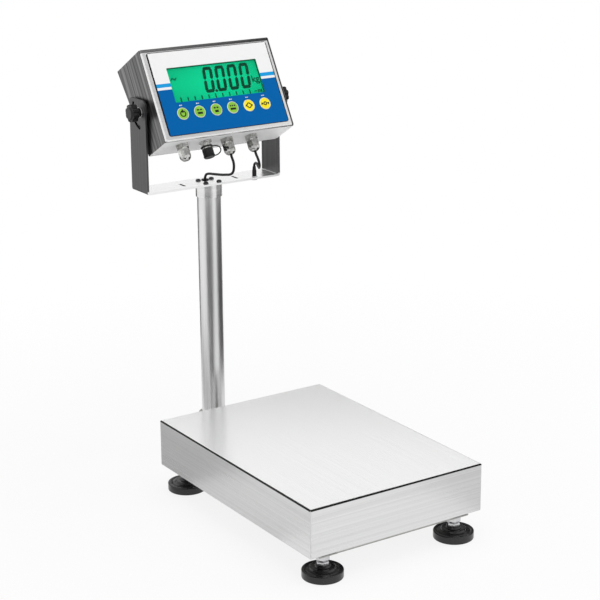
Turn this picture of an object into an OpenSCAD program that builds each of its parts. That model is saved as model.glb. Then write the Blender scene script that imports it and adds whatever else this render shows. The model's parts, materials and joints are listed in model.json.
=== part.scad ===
// Bench scale: a stainless steel weighing platform on levelling feet, with a column
// behind it that carries a tilting indicator in a U-shaped yoke.
// Millimetres, +Z up, front towards -Y, standing on z = 0.

/* [Platform] */
// Width of the weighing pan, left to right
pan_w = 300; // [250:5:400]
// Depth of the weighing pan, front to back
pan_d = 420; // [350:5:520]
// Height of the pan's skirt
skirt_h = 73; // [60:1:78]
// Sheet thickness of the pan
pan_t = 1.5; // [1:0.1:3]
// Radius of the bend between the pan's top and its skirt
pan_bend_r = 3; // [2:0.5:6]
// Radius of the pan's four upright corners
pan_corner_r = 2; // [1.6:0.1:6]

/* [Feet] */
// Diameter of a foot's pad
foot_d = 60; // [48:1:64]
// Height of the straight rim of a pad
foot_rim_h = 12; // [8:0.5:14]
// Distance of a foot's centre from the pan's side edge
foot_inset_x = 34; // [30:1:45]
// Distance of a foot's centre from the pan's front or back edge
foot_inset_y = 21; // [18:1:40]
// Diameter of a foot's stud
stud_d = 12; // [8:0.5:14]
// Height of the base frame's underside above the floor
frame_z = 36; // [34:1:44]

/* [Base frame] */
// Side of the square tube that the rails are made of
rail_w = 30; // [25:1:36]
// Wall thickness of the rails and of the beam
rail_wall = 2; // [1.5:0.5:3]
// Width of the beam under the load cell
beam_w = 60; // [50:1:80]
// Height of the beam under the load cell
beam_h = 20; // [15:1:26]

/* [Load cell] */
// Width of the load cell
cell_w = 40; // [30:1:50]
// Length of the load cell
cell_l = 150; // [125:1:180]
// Height of the load cell
cell_h = 32; // [27:1:40]
// Thickness of the spacer under and over the load cell's ends
spacer_t = 4; // [3:0.5:8]
// Diameter of the platform's bolts
bolt_d = 8; // [6:0.5:10]

/* [Top frame] */
// Thickness of the top frame's plates
top_plate_t = 5; // [4:0.5:6]
// Width of the top frame's arms
arm_w = 40; // [30:1:50]
// Distance of the arms' middles from the pan's front or back edge
arm_inset = 60; // [45:1:85]
// Height of the rubber buffers that the pan lies on
buffer_h = 7.5; // [6:0.5:12]
// Diameter of a rubber buffer
buffer_d = 20; // [16:1:24]
// Gap between the pan's skirt and the lips that locate it
pan_play = 1; // [0.5:0.1:2]

/* [Column] */
// Outer diameter of the column's tube
column_d = 38; // [32:0.5:45]
// Wall thickness of the column's tube
column_wall = 2; // [1.5:0.1:3]
// Distance of the column's axis behind the pan's back edge
column_gap = 90; // [70:1:110]
// Height of the column's collar top above the floor
column_top = 455; // [380:1:550]
// Wall thickness of the collar at the column's top
collar_wall = 1.9; // [1.5:0.1:4]
// Height of the collar
collar_h = 20; // [16:1:30]
// Height of the socket's rim above the floor
socket_top = 70; // [66:1:90]
// Wall thickness of the socket
socket_wall = 5; // [4:0.5:7]
// Thickness of the sheet of the arm that carries the socket
bracket_t = 4; // [3:0.5:5]

/* [Yoke] */
// Sheet thickness of the yoke
yoke_t = 3; // [2:0.5:4]
// Width of the yoke's arms, front to back
yoke_d = 50; // [45:1:70]
// Distance of the yoke's front edge in front of the column's axis
yoke_front = 21; // [20:0.5:28]
// Height of the yoke's arms, from the plate's underside
yoke_h = 146.5; // [140:0.5:180]
// Distance of the tilt axis below the top of the arms
pivot_below_top = 19; // [15:0.5:22]
// Distance of the tilt axis behind the front edge of the arms
pivot_from_front = 14; // [11:0.5:18]
// Gap between the indicator's side and the yoke's arm
yoke_gap = 3; // [2:0.5:5]
// Radius of the arc slot that the guide pin runs in
slot_r = 25; // [22:0.5:28]
// Width of the arc slot
slot_w = 6; // [5:0.5:7]

/* [Indicator] */
// Width of the indicator
head_w = 230; // [200:1:290]
// Height of the indicator's face
head_h = 149; // [140:1:165]
// Depth of the indicator along its top
head_top_d = 87; // [75:1:105]
// Depth of the indicator along its underside
head_bottom_d = 64; // [56:1:70]
// Angle that the face leans back from upright
head_lean = 30; // [15:1:40]
// Height of the tilt axis above the indicator's underside, along the face
pivot_up = 64; // [58:1:72]
// Distance of the tilt axis behind the indicator's face
pivot_in = 40; // [36:1:44]
// Sheet thickness of the indicator's housing
head_wall = 2; // [1.5:0.5:3]
// Thickness of the front panel
panel_t = 2.5; // [2:0.1:3]
// Thickness of the gasket behind the front panel
gasket_t = 1.5; // [1:0.1:2]
// Thickness of the rear cover
cover_t = 1.5; // [1:0.1:2]
// Width of the flange that the panel and the rear cover seat on
flange_w = 8; // [6:0.5:9]

/* [Display and keys] */
// Width of the printed overlay
overlay_w = 214; // [185:1:220]
// Height of the printed overlay
overlay_h = 135; // [125:1:139]
// Thickness of the printed overlay
overlay_t = 0.5; // [0.3:0.1:0.8]
// Width of the display's window
window_w = 160; // [130:1:170]
// Height of the display's window
window_h = 56; // [46:1:62]
// Height of the window's lower edge above the indicator's underside
window_up = 59; // [57:0.5:65]
// Diameter of a key
key_d = 19.4; // [16:0.1:22]
// Distance between two keys
key_pitch = 29.4; // [26:0.1:31]
// Height of the keys' centres above the indicator's underside
key_up = 40.5; // [36:0.5:42]
// Height of a key above the overlay
key_proud = 0.5; // [0.3:0.1:1]
// Travel of a key
key_travel = 0.5; // [0.3:0.1:0.6]

/* [Knobs, glands and cables] */
// Diameter of a clamping knob
knob_d = 27; // [22:0.5:30]
// Thickness of a knob's grip
knob_t = 12; // [9:0.5:14]
// Number of lobes on a knob
knob_lobes = 8; // [5:1:10]
// Diameter of the knobs' studs
knob_stud_d = 6; // [5:0.5:8]
// Width across the flats of a cable gland
gland_af = 19; // [16:0.5:22]
// Length of a cable gland below the housing
gland_l = 26; // [22:0.5:30]
// Distance of the glands behind the indicator's face
port_in = 25; // [21:0.5:30]
// Diameter of the load cell's cable and of the power cable
cable_d = 4; // [3:0.1:5]

/* [Clearances] */
// Gap between round pieces that stay together
slip = 0.1; // [0.05:0.05:0.2]
// Gap between round pieces that move on each other
run = 0.3; // [0.2:0.05:0.5]

/* [Hidden] */
$fn = 64;
hair = 0.01;

// Platform stack, from the floor up
rail_top = frame_z + rail_w;
beam_top = frame_z + beam_h;
cell_z = beam_top + spacer_t;
cell_top = cell_z + cell_h;
spine_z = cell_top + spacer_t;
arm_z = spine_z + top_plate_t;
buffer_z = arm_z + top_plate_t;
pan_under = buffer_z + buffer_h;
pan_top = pan_under + pan_t;
skirt_z = pan_top - skirt_h;

// Plan of the platform
foot_x = pan_w / 2 - foot_inset_x;
foot_y = pan_d / 2 - foot_inset_y;
pan_in_x = pan_w / 2 - pan_t;
pan_in_y = pan_d / 2 - pan_t;
arm_y = pan_d / 2 - arm_inset;
buffer_inset = 28;
buffer_x = pan_in_x - buffer_inset;
lip_h = 15;

// Hexagons, bolts and nuts
function across_corners(af) = af / cos(30);
stud_nut_af = stud_d * 1.6;
bolt_af = bolt_d * 1.625;
bolt_head_h = bolt_d * 0.65;
bolt_end = 8;
lock_nut_h = 9;
weld_nut_h = 8;
stud_r = stud_d / 2 - run;
stud_hex_af = stud_d * 1.4;
stud_hex_h = 5;
foot_hub_h = 19;
foot_hub_r = stud_hex_af * 0.63;
foot_step_r = 18;
foot_step_h = 4;
foot_rim_w = 4;
foot_edge = 1;
stud_short = 6;

// Load cell's bolt pairs, measured from its middle
cell_end = 40;
cell_bolt_y = [cell_l / 2 - 30, cell_l / 2 - 10];
cell_eye_r = cell_h * 0.34;
cell_eye_y = 16;
cell_slot = 6;
bolt_bite = cell_h / 2 - 1;
stop_gap = 1;

// Column and yoke
column_y = pan_d / 2 + column_gap;
column_r = column_d / 2;
collar_r = column_r + slip + collar_wall;
socket_r = column_r + slip + socket_wall;
arm_drop = 22;
socket_z = frame_z - arm_drop;
socket_floor = 4;
clamp_up = 22;
clamp_down = 16;
clamp_boss = 5;
collar_disc = 6;
yoke_y = column_y - yoke_front;
yoke_w = head_w + 2 * (yoke_gap + yoke_t);
yoke_z = column_top;
yoke_plate_top = yoke_z + yoke_t;
yoke_bend_r = 4;
yoke_corner_r = 8;
pivot_y = yoke_y + pivot_from_front;
pivot_z = yoke_z + yoke_h - pivot_below_top;
slot_from = -77;
slot_to = 25;
slot_relief = 0.4;
pin_at = -26;
pin_r = slot_w / 2 - run;
yoke_screw = column_r - 7;
yoke_screw_d = 5;
button_r = yoke_screw_d * 0.85;
button_h = 2.8;
plate_slot_x = 48;
plate_slot_l = 19;
plate_slot_w = 4.5;
cable_hole_r = 5;
grommet_lip = 1;
grommet_h = 1.4;
grommet_tail = 2;
// The cable hole lies between the rear screws, and further in where their heads are close
grommet_room = cable_hole_r + grommet_lip + button_r + slip;
cable_hole_y = yoke_screw - sqrt(max(1, pow(grommet_room, 2) - pow(yoke_screw, 2)));
lead_exit_r = 5;
lead_exit_z = socket_z + 10;

// Indicator, in its own upright frame with the tilt axis at the origin
face_y = -pivot_in;
overlay_y = face_y - overlay_t;
panel_back = face_y + panel_t;
box_front = panel_back + gasket_t;
box_z0 = -pivot_up;
box_z1 = head_h - pivot_up;
back_angle = atan((head_top_d - head_bottom_d) / head_h);
function back_y(z) = face_y + head_bottom_d + (z - box_z0) * tan(back_angle);
window_z = box_z0 + window_up;
key_z = box_z0 + key_up;
key_r = key_d / 2;
key_count = 6;
key_flange = 2;
key_flange_t = 1;
board_y = panel_back + 10.5;
board_t = 1.6;
switch_h = 5;
switch_w = 6;
plunger_h = 1.5;
plunger_r = 1.75;
key_stem_r = 2;
port_y = face_y + port_in;
port_z = box_z0;
spare_x = -76;
data_x = -35;
cell_port_x = 3;
power_port_x = 47;
gland_x = [spare_x, cell_port_x, power_port_x];
gland_hex_h = 6;
gland_nut_z = 9;
gland_neck = 7;
gland_body_r = gland_af * 0.4;
gland_thread_r = gland_af * 0.32;
gland_thread_l = 10;
lock_nut_in = 3;
cable_r = cable_d / 2;
data_r = 7.5;
data_thread_r = 6.7;
data_body_l = 12;
data_thread_l = 9;
data_flange = 2.5;
data_flange_t = 2.5;
cap_r = 8.6;
cap_l = 14;
cap_flutes = 16;
cap_flute_r = 0.75;
cap_end = 1.5;
cap_groove = 2.5;
cap_groove_r = cap_r - 1.2;
cap_bore_l = data_thread_l + 0.5;
cap_z = -data_body_l - run - cap_l;
tether_r = 0.9;
tether_ring_z = -10;
tether_ring_h = 2;
tether_ring_t = 1.7;
cap_ring_h = 1.8;
bush_r = 8;
washer_t = 3;
pivot_nut_l = 6;
pivot_nut_r = bush_r * 0.7;
pin_head_l = 4;
pin_head_r = pin_r + 2;
pin_end = 1;
knob_boss = 6;
knob_boss_r = bush_r - 1;
knob_crown = 2;
stud_in = 12;
rear_screw_d = 4;
board_w = head_w - 40;
board_z0 = box_z0 + 14;
board_z1 = box_z1 - 15;
board_corner_r = 2;
board_stud_r = 3;
board_stud_x = board_w / 2 - 7;
board_stud_in = 6;
lcd_gap = 0.1;
lcd_margin = 4;
window_corner_r = 1.5;
panel_corner_r = 2.5;
overlay_corner_r = 4;
gasket_inset = 1.5;
gasket_corner_r = 2;
battery_size = [100, 28, 50];
battery_up = 78;

// Turns a point of the indicator's own frame into the platform's frame
function head_point(p) = [
    p.x,
    pivot_y + p.y * cos(head_lean) + p.z * sin(head_lean),
    pivot_z - p.y * sin(head_lean) + p.z * cos(head_lean)
];

// The whole object is moved along Y so that its box is centred on the origin
rear_y = head_point([0, back_y(box_z1), box_z1]).y;
front_y = max(pan_d / 2, foot_y + foot_d / 2);
shift_y = -(rear_y - front_y) / 2;

// Routes of the cables, from gland to far end, in the platform's frame
gland_end_z = port_z - gland_l;
power_plug = [76, yoke_y + 6, yoke_plate_top];
plug_l = 17;
plug_r = 3.5;
plug_socket_r = 4.5;
plug_socket_h = 1.5;
plug_hole_r = 2.5;
plug_nut_af = 8;
plug_nut_h = 2;
load_cell_route = [
    head_point([cell_port_x, port_y, gland_end_z]),
    head_point([cell_port_x, port_y, gland_end_z - 5]),
    [3, 228, 501],
    [3, 227, 493],
    [3, 230, 485],
    [3, 238, 480],
    [2, 249, 477.5],
    [1, 260, 475.5],
    [0, 272, 474],
    [-1, 284, 472.5],
    [-1, 295, 471],
    [-1, 304, 468.5],
    [0, column_y + cable_hole_y - 1.5, 464.5],
    [0, column_y + cable_hole_y, 460.5],
    [0, column_y + cable_hole_y, 459],
    [0, column_y + cable_hole_y, yoke_plate_top]
];
power_route = [
    head_point([power_port_x, port_y, gland_end_z]),
    head_point([power_port_x, port_y, gland_end_z - 5]),
    [48, 228, 500],
    [51, 229, 491],
    [55, 236, 485],
    [60, 245, 482],
    [65, 256, 482],
    [70, 267, 483],
    [74, 277, 482],
    [76, 283.5, 479],
    [power_plug.x, power_plug.y, power_plug.z + plug_l + 1],
    [power_plug.x, power_plug.y, power_plug.z + plug_l]
];
lead_route = [
    [0, column_y + cable_hole_y, yoke_plate_top],
    [0, column_y + cable_hole_y, yoke_z - collar_disc - 3],
    [0, column_y + 9, 434],
    [0, column_y + 5, 418],
    [0, column_y + 1, 400],
    [0, column_y, 380],
    [0, column_y, 220],
    [0, column_y, 60],
    [0, column_y - 1, 44],
    [0, column_y - 6, 31],
    [0, column_y - 15, lead_exit_z],
    [0, column_y - 28, lead_exit_z],
    [0, 220, lead_exit_z],
    [0, 176, lead_exit_z],
    [4, 164, 25],
    [16, 152, 27],
    [30, 142, 32],
    [40, 130, 42],
    [41, 116, 54],
    [37, 104, 65],
    [26, 94, 73],
    [12, 88, 76],
    [4, 83, 76],
    [0, cell_l / 2 + 3, 76],
    [0, cell_l / 2, 76]
];
tether_route = [
    [data_r + 1, 0, -9],
    [13, -1, -8.6],
    [18, -2, -10],
    [21, -3, -14],
    [20.5, -3, -18.5],
    [17, -2, -22],
    [13, -1, -23.6],
    [cap_r - 0.2, 0, -24]
];

// Shapes that repeat

// A hexagonal prism from z = 0 up, flats facing along Y
module hex(af, h) {
    cylinder(d = across_corners(af), h = h, $fn = 6);
}

// A cube from its lowest to its highest corner
module block(low, high) {
    translate(low) cube(high - low);
}

// A cylinder along +X, and one along +Y, from the point they are moved to
module along_x(r, h) {
    rotate([0, 90, 0]) cylinder(r = r, h = h);
}
module along_y(r, h) {
    rotate([-90, 0, 0]) cylinder(r = r, h = h);
}

// A flat outline in X and Z, drawn at y and thickened towards +Y
module plate_y(y, t) {
    translate([0, y + t, 0]) rotate([90, 0, 0]) linear_extrude(t) children();
}

// A rectangle with round corners, centred on its first axis, from z0 to z1 on the other
module round_rect(w, z0, z1, r) {
    translate([-w / 2 + r, z0]) square([w - 2 * r, z1 - z0]);
    translate([-w / 2, z0 + r]) square([w, z1 - z0 - 2 * r]);
    for (x = [-w / 2 + r, w / 2 - r], z = [z0 + r, z1 - r]) translate([x, z]) circle(r);
}

// The same copies at both ends of X, of Y, or at the four corners
module at_corners(x, y) {
    for (sx = [-1, 1], sy = [-1, 1]) translate([sx * x, sy * y, 0]) children();
}

// The indicator's own frame
module on_head() {
    translate([0, pivot_y, pivot_z]) rotate([-head_lean, 0, 0]) children();
}

// The plane of the indicator's back: +Z up along it, +Y out of it
module on_back() {
    translate([0, back_y(box_z0), box_z0]) rotate([-back_angle, 0, 0]) children();
}

// A round tube swept along a route, one ring at each of its points
function unit(v) = v / norm(v);
function heading(p, i) = unit(p[min(i + 1, len(p) - 1)] - p[max(i - 1, 0)]);
function ring(p, i, r, ref, sides) =
    let (t = heading(p, i), u = unit(cross(t, ref)), v = cross(t, u))
    [for (k = [0:sides - 1]) p[i] + r * (u * cos(360 * k / sides) + v * sin(360 * k / sides))];
module swept_tube(p, r, ref, sides = 8) {
    n = len(p);
    points = [for (i = [0:n - 1]) each ring(p, i, r, ref, sides)];
    walls = [for (i = [0:n - 2], k = [0:sides - 1], half = [0, 1])
        let (a = i * sides + k, b = i * sides + (k + 1) % sides)
        half == 0 ? [a, a + sides, b] : [b, a + sides, b + sides]];
    first = [for (k = [0:sides - 1]) k];
    last = [for (k = [sides - 1:-1:0]) (n - 1) * sides + k];
    polyhedron(points, concat(walls, [first, last]));
}

// Base frame

module side_rail(side) {
    x = side * foot_x;
    end = foot_y + rail_w / 2;
    inner = rail_w / 2 - rail_wall;
    difference() {
        block([x - rail_w / 2, -end, frame_z], [x + rail_w / 2, end, rail_top]);
        block([x - inner, -end - 1, frame_z + rail_wall], [x + inner, end + 1, rail_top - rail_wall]);
        for (sy = [-1, 1]) {
            translate([x, sy * foot_y, frame_z - 1]) cylinder(d = stud_d + 2 * run, h = rail_wall + 2);
            translate([x, sy * arm_y, rail_top - rail_wall - 1])
                cylinder(d = bolt_d + 2 * slip, h = rail_wall + 2);
        }
    }
}
module side_rail_left() { color("gray") side_rail(-1); }
module side_rail_right() { color("gray") side_rail(1); }

// Holes through the floor of the rear rail for the bolts of the column's arm
module arm_bolt_places() {
    for (sx = [-1, 1]) translate([sx * beam_w / 4, foot_y, 0]) children();
}

module cross_rail(side) {
    y = side * foot_y;
    end = foot_x - rail_w / 2;
    inner = rail_w / 2 - rail_wall;
    difference() {
        block([-end, y - rail_w / 2, frame_z], [end, y + rail_w / 2, rail_top]);
        block([-end - 1, y - inner, frame_z + rail_wall], [end + 1, y + inner, rail_top - rail_wall]);
        if (side > 0)
            arm_bolt_places() translate([0, 0, frame_z - 1])
                cylinder(d = bolt_d + 2 * slip, h = rail_wall + 2);
    }
}
module front_cross_rail() { color("gray") cross_rail(-1); }
module rear_cross_rail() { color("gray") cross_rail(1); }

module cell_beam() {
    end = foot_y - rail_w / 2;
    color("gray") difference() {
        block([-beam_w / 2, -end, frame_z], [beam_w / 2, end, beam_top]);
        block([-beam_w / 2 + rail_wall, -end - 1, frame_z + rail_wall],
              [beam_w / 2 - rail_wall, end + 1, beam_top - rail_wall]);
        for (y = cell_bolt_y) translate([0, y, frame_z - 1])
            cylinder(d = bolt_d + 2 * slip, h = beam_h + 2);
    }
}

// A lock nut under each foot's rail and a weld nut inside it
module foot_nuts() {
    color("silver") at_corners(foot_x, foot_y) difference() {
        union() {
            translate([0, 0, frame_z - lock_nut_h]) hex(stud_nut_af, lock_nut_h);
            translate([0, 0, frame_z + rail_wall]) rotate(30) hex(stud_nut_af, weld_nut_h);
        }
        translate([0, 0, frame_z - lock_nut_h - 1])
            cylinder(d = stud_d, h = lock_nut_h + rail_wall + weld_nut_h + 2);
    }
}

// Load cell and top frame

module cell_spacers() {
    color("dimgray") for (side = [-1, 1]) difference() {
        y = side * (cell_l / 2 - cell_end / 2);
        z = side > 0 ? beam_top : cell_top;
        block([-cell_w / 2, y - cell_end / 2, z], [cell_w / 2, y + cell_end / 2, z + spacer_t]);
        for (b = cell_bolt_y) translate([0, side * b, z - 1])
            cylinder(d = bolt_d + 2 * slip, h = spacer_t + 2);
    }
}

// An aluminium block with two eyes joined by a slot, fixed at its rear end and
// loaded at its front end
module load_cell() {
    mid = cell_z + cell_h / 2;
    hole_l = bolt_bite + 2;
    color("lightsteelblue") difference() {
        block([-cell_w / 2, -cell_l / 2, cell_z], [cell_w / 2, cell_l / 2, cell_top]);
        for (y = [-cell_eye_y, cell_eye_y]) translate([-cell_w, y, mid]) along_x(cell_eye_r, 2 * cell_w);
        block([-cell_w, -cell_eye_y, mid - cell_slot / 2], [cell_w, cell_eye_y, mid + cell_slot / 2]);
        for (b = cell_bolt_y) {
            translate([0, b, cell_z - 1]) cylinder(d = bolt_d + 2 * slip, h = hole_l);
            translate([0, -b, cell_top - hole_l + 1]) cylinder(d = bolt_d + 2 * slip, h = hole_l);
        }
    }
}

// A hex-head bolt with its head below z = 0 and its shank going up
module bolt_up(l) {
    translate([0, 0, -bolt_head_h]) hex(bolt_af, bolt_head_h);
    translate([0, 0, -hair]) cylinder(d = bolt_d, h = l + hair);
}

// The load cell's bolts, and the overload stops under the ends of the top frame
module platform_bolts() {
    color("silver") {
        for (b = cell_bolt_y) {
            translate([0, b, frame_z]) bolt_up(beam_h + spacer_t + bolt_bite);
            translate([0, -b, arm_z]) mirror([0, 0, 1]) bolt_up(top_plate_t + spacer_t + bolt_bite);
        }
        at_corners(foot_x, arm_y) {
            translate([0, 0, rail_top]) hex(bolt_af, bolt_head_h);
            translate([0, 0, rail_top - rail_wall - bolt_end])
                cylinder(d = bolt_d, h = arm_z - stop_gap - rail_top + rail_wall + bolt_end);
        }
    }
}

module top_spine() {
    end = pan_in_y - pan_play;
    color("darkgray") difference() {
        union() {
            block([-beam_w / 2, -end, spine_z], [beam_w / 2, end, arm_z]);
            for (side = [-1, 1]) block(
                [-beam_w / 2, side > 0 ? end - top_plate_t : -end, spine_z - lip_h],
                [beam_w / 2, side > 0 ? end : -end + top_plate_t, arm_z]);
        }
        for (b = cell_bolt_y) translate([0, -b, spine_z - 1])
            cylinder(d = bolt_d + 2 * slip, h = top_plate_t + 2);
    }
}

module top_arm(side) {
    y = side * arm_y;
    end = pan_in_x - pan_play;
    color("darkgray") difference() {
        union() {
            block([-end, y - arm_w / 2, arm_z], [end, y + arm_w / 2, buffer_z]);
            for (sx = [-1, 1]) block(
                [sx > 0 ? end - top_plate_t : -end, y - arm_w / 2, arm_z - lip_h],
                [sx > 0 ? end : -end + top_plate_t, y + arm_w / 2, buffer_z]);
        }
        for (sx = [-1, 1]) translate([sx * buffer_x, y, arm_z - 1])
            cylinder(d = buffer_d / 2 + 2 * slip, h = top_plate_t + 2);
    }
}
module top_arm_front() { top_arm(-1); }
module top_arm_rear() { top_arm(1); }

module pan_buffers() {
    color("black") at_corners(buffer_x, arm_y) {
        translate([0, 0, buffer_z]) cylinder(d = buffer_d, h = buffer_h);
        translate([0, 0, arm_z]) cylinder(d = buffer_d / 2, h = top_plate_t + hair);
    }
}

// Weighing pan: a folded sheet tray with a round bend along each top edge

// The side of the tray: a rectangle with its two upper corners rounded
module tray_side(w, z0, z1, r) {
    translate([-w / 2, z0]) square([w, z1 - z0 - r]);
    translate([-w / 2 + r, z0]) square([w - 2 * r, z1 - z0]);
    for (x = [-w / 2 + r, w / 2 - r]) translate([x, z1 - r]) circle(r);
}
module tray_block(w, d, z0, z1, r, corner_r) {
    intersection() {
        plate_y(-d, 2 * d) tray_side(w, z0, z1, r);
        rotate([0, 0, 90]) plate_y(-w, 2 * w) tray_side(d, z0, z1, r);
        translate([0, 0, z0 - 1]) linear_extrude(z1 - z0 + 2) round_rect(w, -d / 2, d / 2, corner_r);
    }
}
module pan() {
    color("gainsboro") difference() {
        tray_block(pan_w, pan_d, skirt_z, pan_top, pan_bend_r, pan_corner_r);
        tray_block(pan_w - 2 * pan_t, pan_d - 2 * pan_t, skirt_z - 1, pan_under,
                   pan_bend_r - pan_t, pan_corner_r - pan_t);
    }
}

// Feet: a moulded pad with a grooved rim and two steps up to its hub, and a stud with
// a hexagon, which screws into the rail

module foot_pad(sx, sy) {
    r = foot_d / 2;
    groove_z = foot_rim_h - foot_edge;
    step_z = foot_rim_h + foot_step_h;
    color("black") translate([sx * foot_x, sy * foot_y, 0]) difference() {
        rotate_extrude() polygon([
            [0, 0], [r - foot_edge, 0], [r, foot_edge], [r, groove_z], [r - foot_edge, foot_rim_h],
            [r - foot_rim_w, foot_rim_h], [r - foot_rim_w - foot_edge, groove_z],
            [r - foot_rim_w - 2 * foot_edge, groove_z], [r - foot_rim_w - 3 * foot_edge, foot_rim_h],
            [foot_step_r + foot_edge, foot_rim_h + foot_edge], [foot_step_r, step_z - foot_edge / 2],
            [foot_step_r - foot_edge, step_z], [foot_hub_r + foot_edge, step_z],
            [foot_hub_r, foot_hub_h - foot_edge / 2], [foot_hub_r - foot_edge / 2, foot_hub_h],
            [0, foot_hub_h]
        ]);
        translate([0, 0, foot_rim_h / 2]) cylinder(r = stud_r + slip, h = foot_hub_h);
    }
}
module foot_stud(sx, sy) {
    color("silver") translate([sx * foot_x, sy * foot_y, 0]) {
        translate([0, 0, foot_hub_h]) hex(stud_hex_af, stud_hex_h);
        translate([0, 0, foot_rim_h / 2]) cylinder(r = stud_r, h = rail_top - stud_short - foot_rim_h / 2);
    }
}
module foot_pad_front_left() { foot_pad(-1, -1); }
module foot_pad_front_right() { foot_pad(1, -1); }
module foot_pad_rear_left() { foot_pad(-1, 1); }
module foot_pad_rear_right() { foot_pad(1, 1); }
module foot_stud_front_left() { foot_stud(-1, -1); }
module foot_stud_front_right() { foot_stud(1, -1); }
module foot_stud_rear_left() { foot_stud(-1, 1); }
module foot_stud_rear_right() { foot_stud(1, 1); }

// Column and what holds it

// Places of the two clamp screws on the socket's back
module clamp_places() {
    for (z = [socket_z + clamp_up, socket_top - clamp_down]) translate([0, column_y, z]) children();
}

// A channel, open below, that carries the socket from under the rear rail
module column_arm() {
    half = beam_w / 2;
    front = foot_y - rail_w / 2;
    color("darkgray") difference() {
        block([-half, front, socket_z], [half, column_y, frame_z]);
        block([-half + bracket_t, front - 1, socket_z - 1],
              [half - bracket_t, column_y + 1, frame_z - bracket_t]);
        translate([0, column_y, socket_z - 1]) cylinder(r = socket_r + slip, h = frame_z);
        arm_bolt_places() translate([0, 0, socket_z]) cylinder(d = bolt_d + 2 * slip, h = frame_z);
    }
}

module column_socket() {
    color("darkgray") difference() {
        union() {
            translate([0, column_y, socket_z]) cylinder(r = socket_r, h = socket_top - socket_z);
            clamp_places() translate([0, column_r, 0]) along_y(bolt_d, socket_wall + clamp_boss);
        }
        translate([0, column_y, socket_z + socket_floor])
            cylinder(r = column_r + slip, h = socket_top);
        clamp_places() along_y(bolt_d / 2 + slip, 2 * socket_r);
        translate([0, column_y - 2 * socket_r, lead_exit_z]) along_y(lead_exit_r, 2 * socket_r);
    }
}

// Bolts of the arm, clamp screws of the socket and the yoke's button-head screws
module column_screws() {
    color("silver") {
        arm_bolt_places() translate([0, 0, frame_z - bracket_t]) bolt_up(bracket_t + rail_wall + bolt_end);
        clamp_places() translate([0, column_r + socket_wall + clamp_boss, 0]) rotate([90, 0, 0])
            bolt_up(socket_wall + clamp_boss - slip);
        translate([0, column_y, yoke_plate_top]) at_corners(yoke_screw, yoke_screw) {
            rotate_extrude() polygon([
                [0, 0], [button_r, 0], [yoke_screw_d * 0.8, button_h * 0.57],
                [yoke_screw_d * 0.55, button_h], [0, button_h]]);
            translate([0, 0, -yoke_t - collar_disc + 1])
                cylinder(d = yoke_screw_d, h = yoke_t + collar_disc - 1 + hair);
        }
    }
}

module column_tube() {
    z0 = socket_z + socket_floor;
    h = column_top - collar_disc - z0;
    color("silver") difference() {
        translate([0, column_y, z0]) cylinder(r = column_r, h = h);
        translate([0, column_y, z0 - 1]) cylinder(r = column_r - column_wall, h = h + 2);
        translate([0, column_y - 2 * column_r, lead_exit_z]) along_y(lead_exit_r, 2 * column_r);
    }
}

// A cap over the column's end, with the threads for the yoke's screws
module column_collar() {
    color("silver") translate([0, column_y, column_top]) difference() {
        translate([0, 0, -collar_h]) cylinder(r = collar_r, h = collar_h);
        translate([0, 0, -collar_h - 1]) cylinder(r = column_r + slip, h = collar_h + 1 - collar_disc);
        translate([0, 0, -collar_h]) {
            at_corners(yoke_screw, yoke_screw) cylinder(d = yoke_screw_d + 2 * slip, h = 2 * collar_h);
            translate([0, cable_hole_y, 0]) cylinder(r = cable_hole_r, h = 2 * collar_h);
        }
    }
}

// Yoke: one sheet folded to a U, with a pivot hole and an arc slot in each arm

// The arm's outline, seen along X: square below, round at its two upper corners
module arm_outline() {
    top = yoke_z + yoke_h;
    translate([yoke_y, yoke_z]) square([yoke_d, yoke_h - yoke_corner_r]);
    translate([yoke_y + yoke_corner_r, yoke_z]) square([yoke_d - 2 * yoke_corner_r, yoke_h]);
    for (y = [yoke_y + yoke_corner_r, yoke_y + yoke_d - yoke_corner_r])
        translate([y, top - yoke_corner_r]) circle(yoke_corner_r);
}

// An arc slot with round ends through both arms: half a ring is cut by a half plane
// at each end of the arc, and a slightly wider disc relieves the end
module arc_slot(l) {
    far = 2 * slot_r;
    rotate([90, 0, 90]) translate([0, 0, -l / 2]) linear_extrude(l) {
        difference() {
            circle(slot_r + slot_w / 2);
            circle(slot_r - slot_w / 2);
            rotate(slot_to) translate([-far, 0]) square([2 * far, far]);
            rotate(slot_from) translate([-far, -far]) square([2 * far, far]);
        }
        for (a = [slot_from, slot_to]) rotate(a) translate([slot_r, 0])
            circle(d = slot_w + slot_relief);
    }
}

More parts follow.
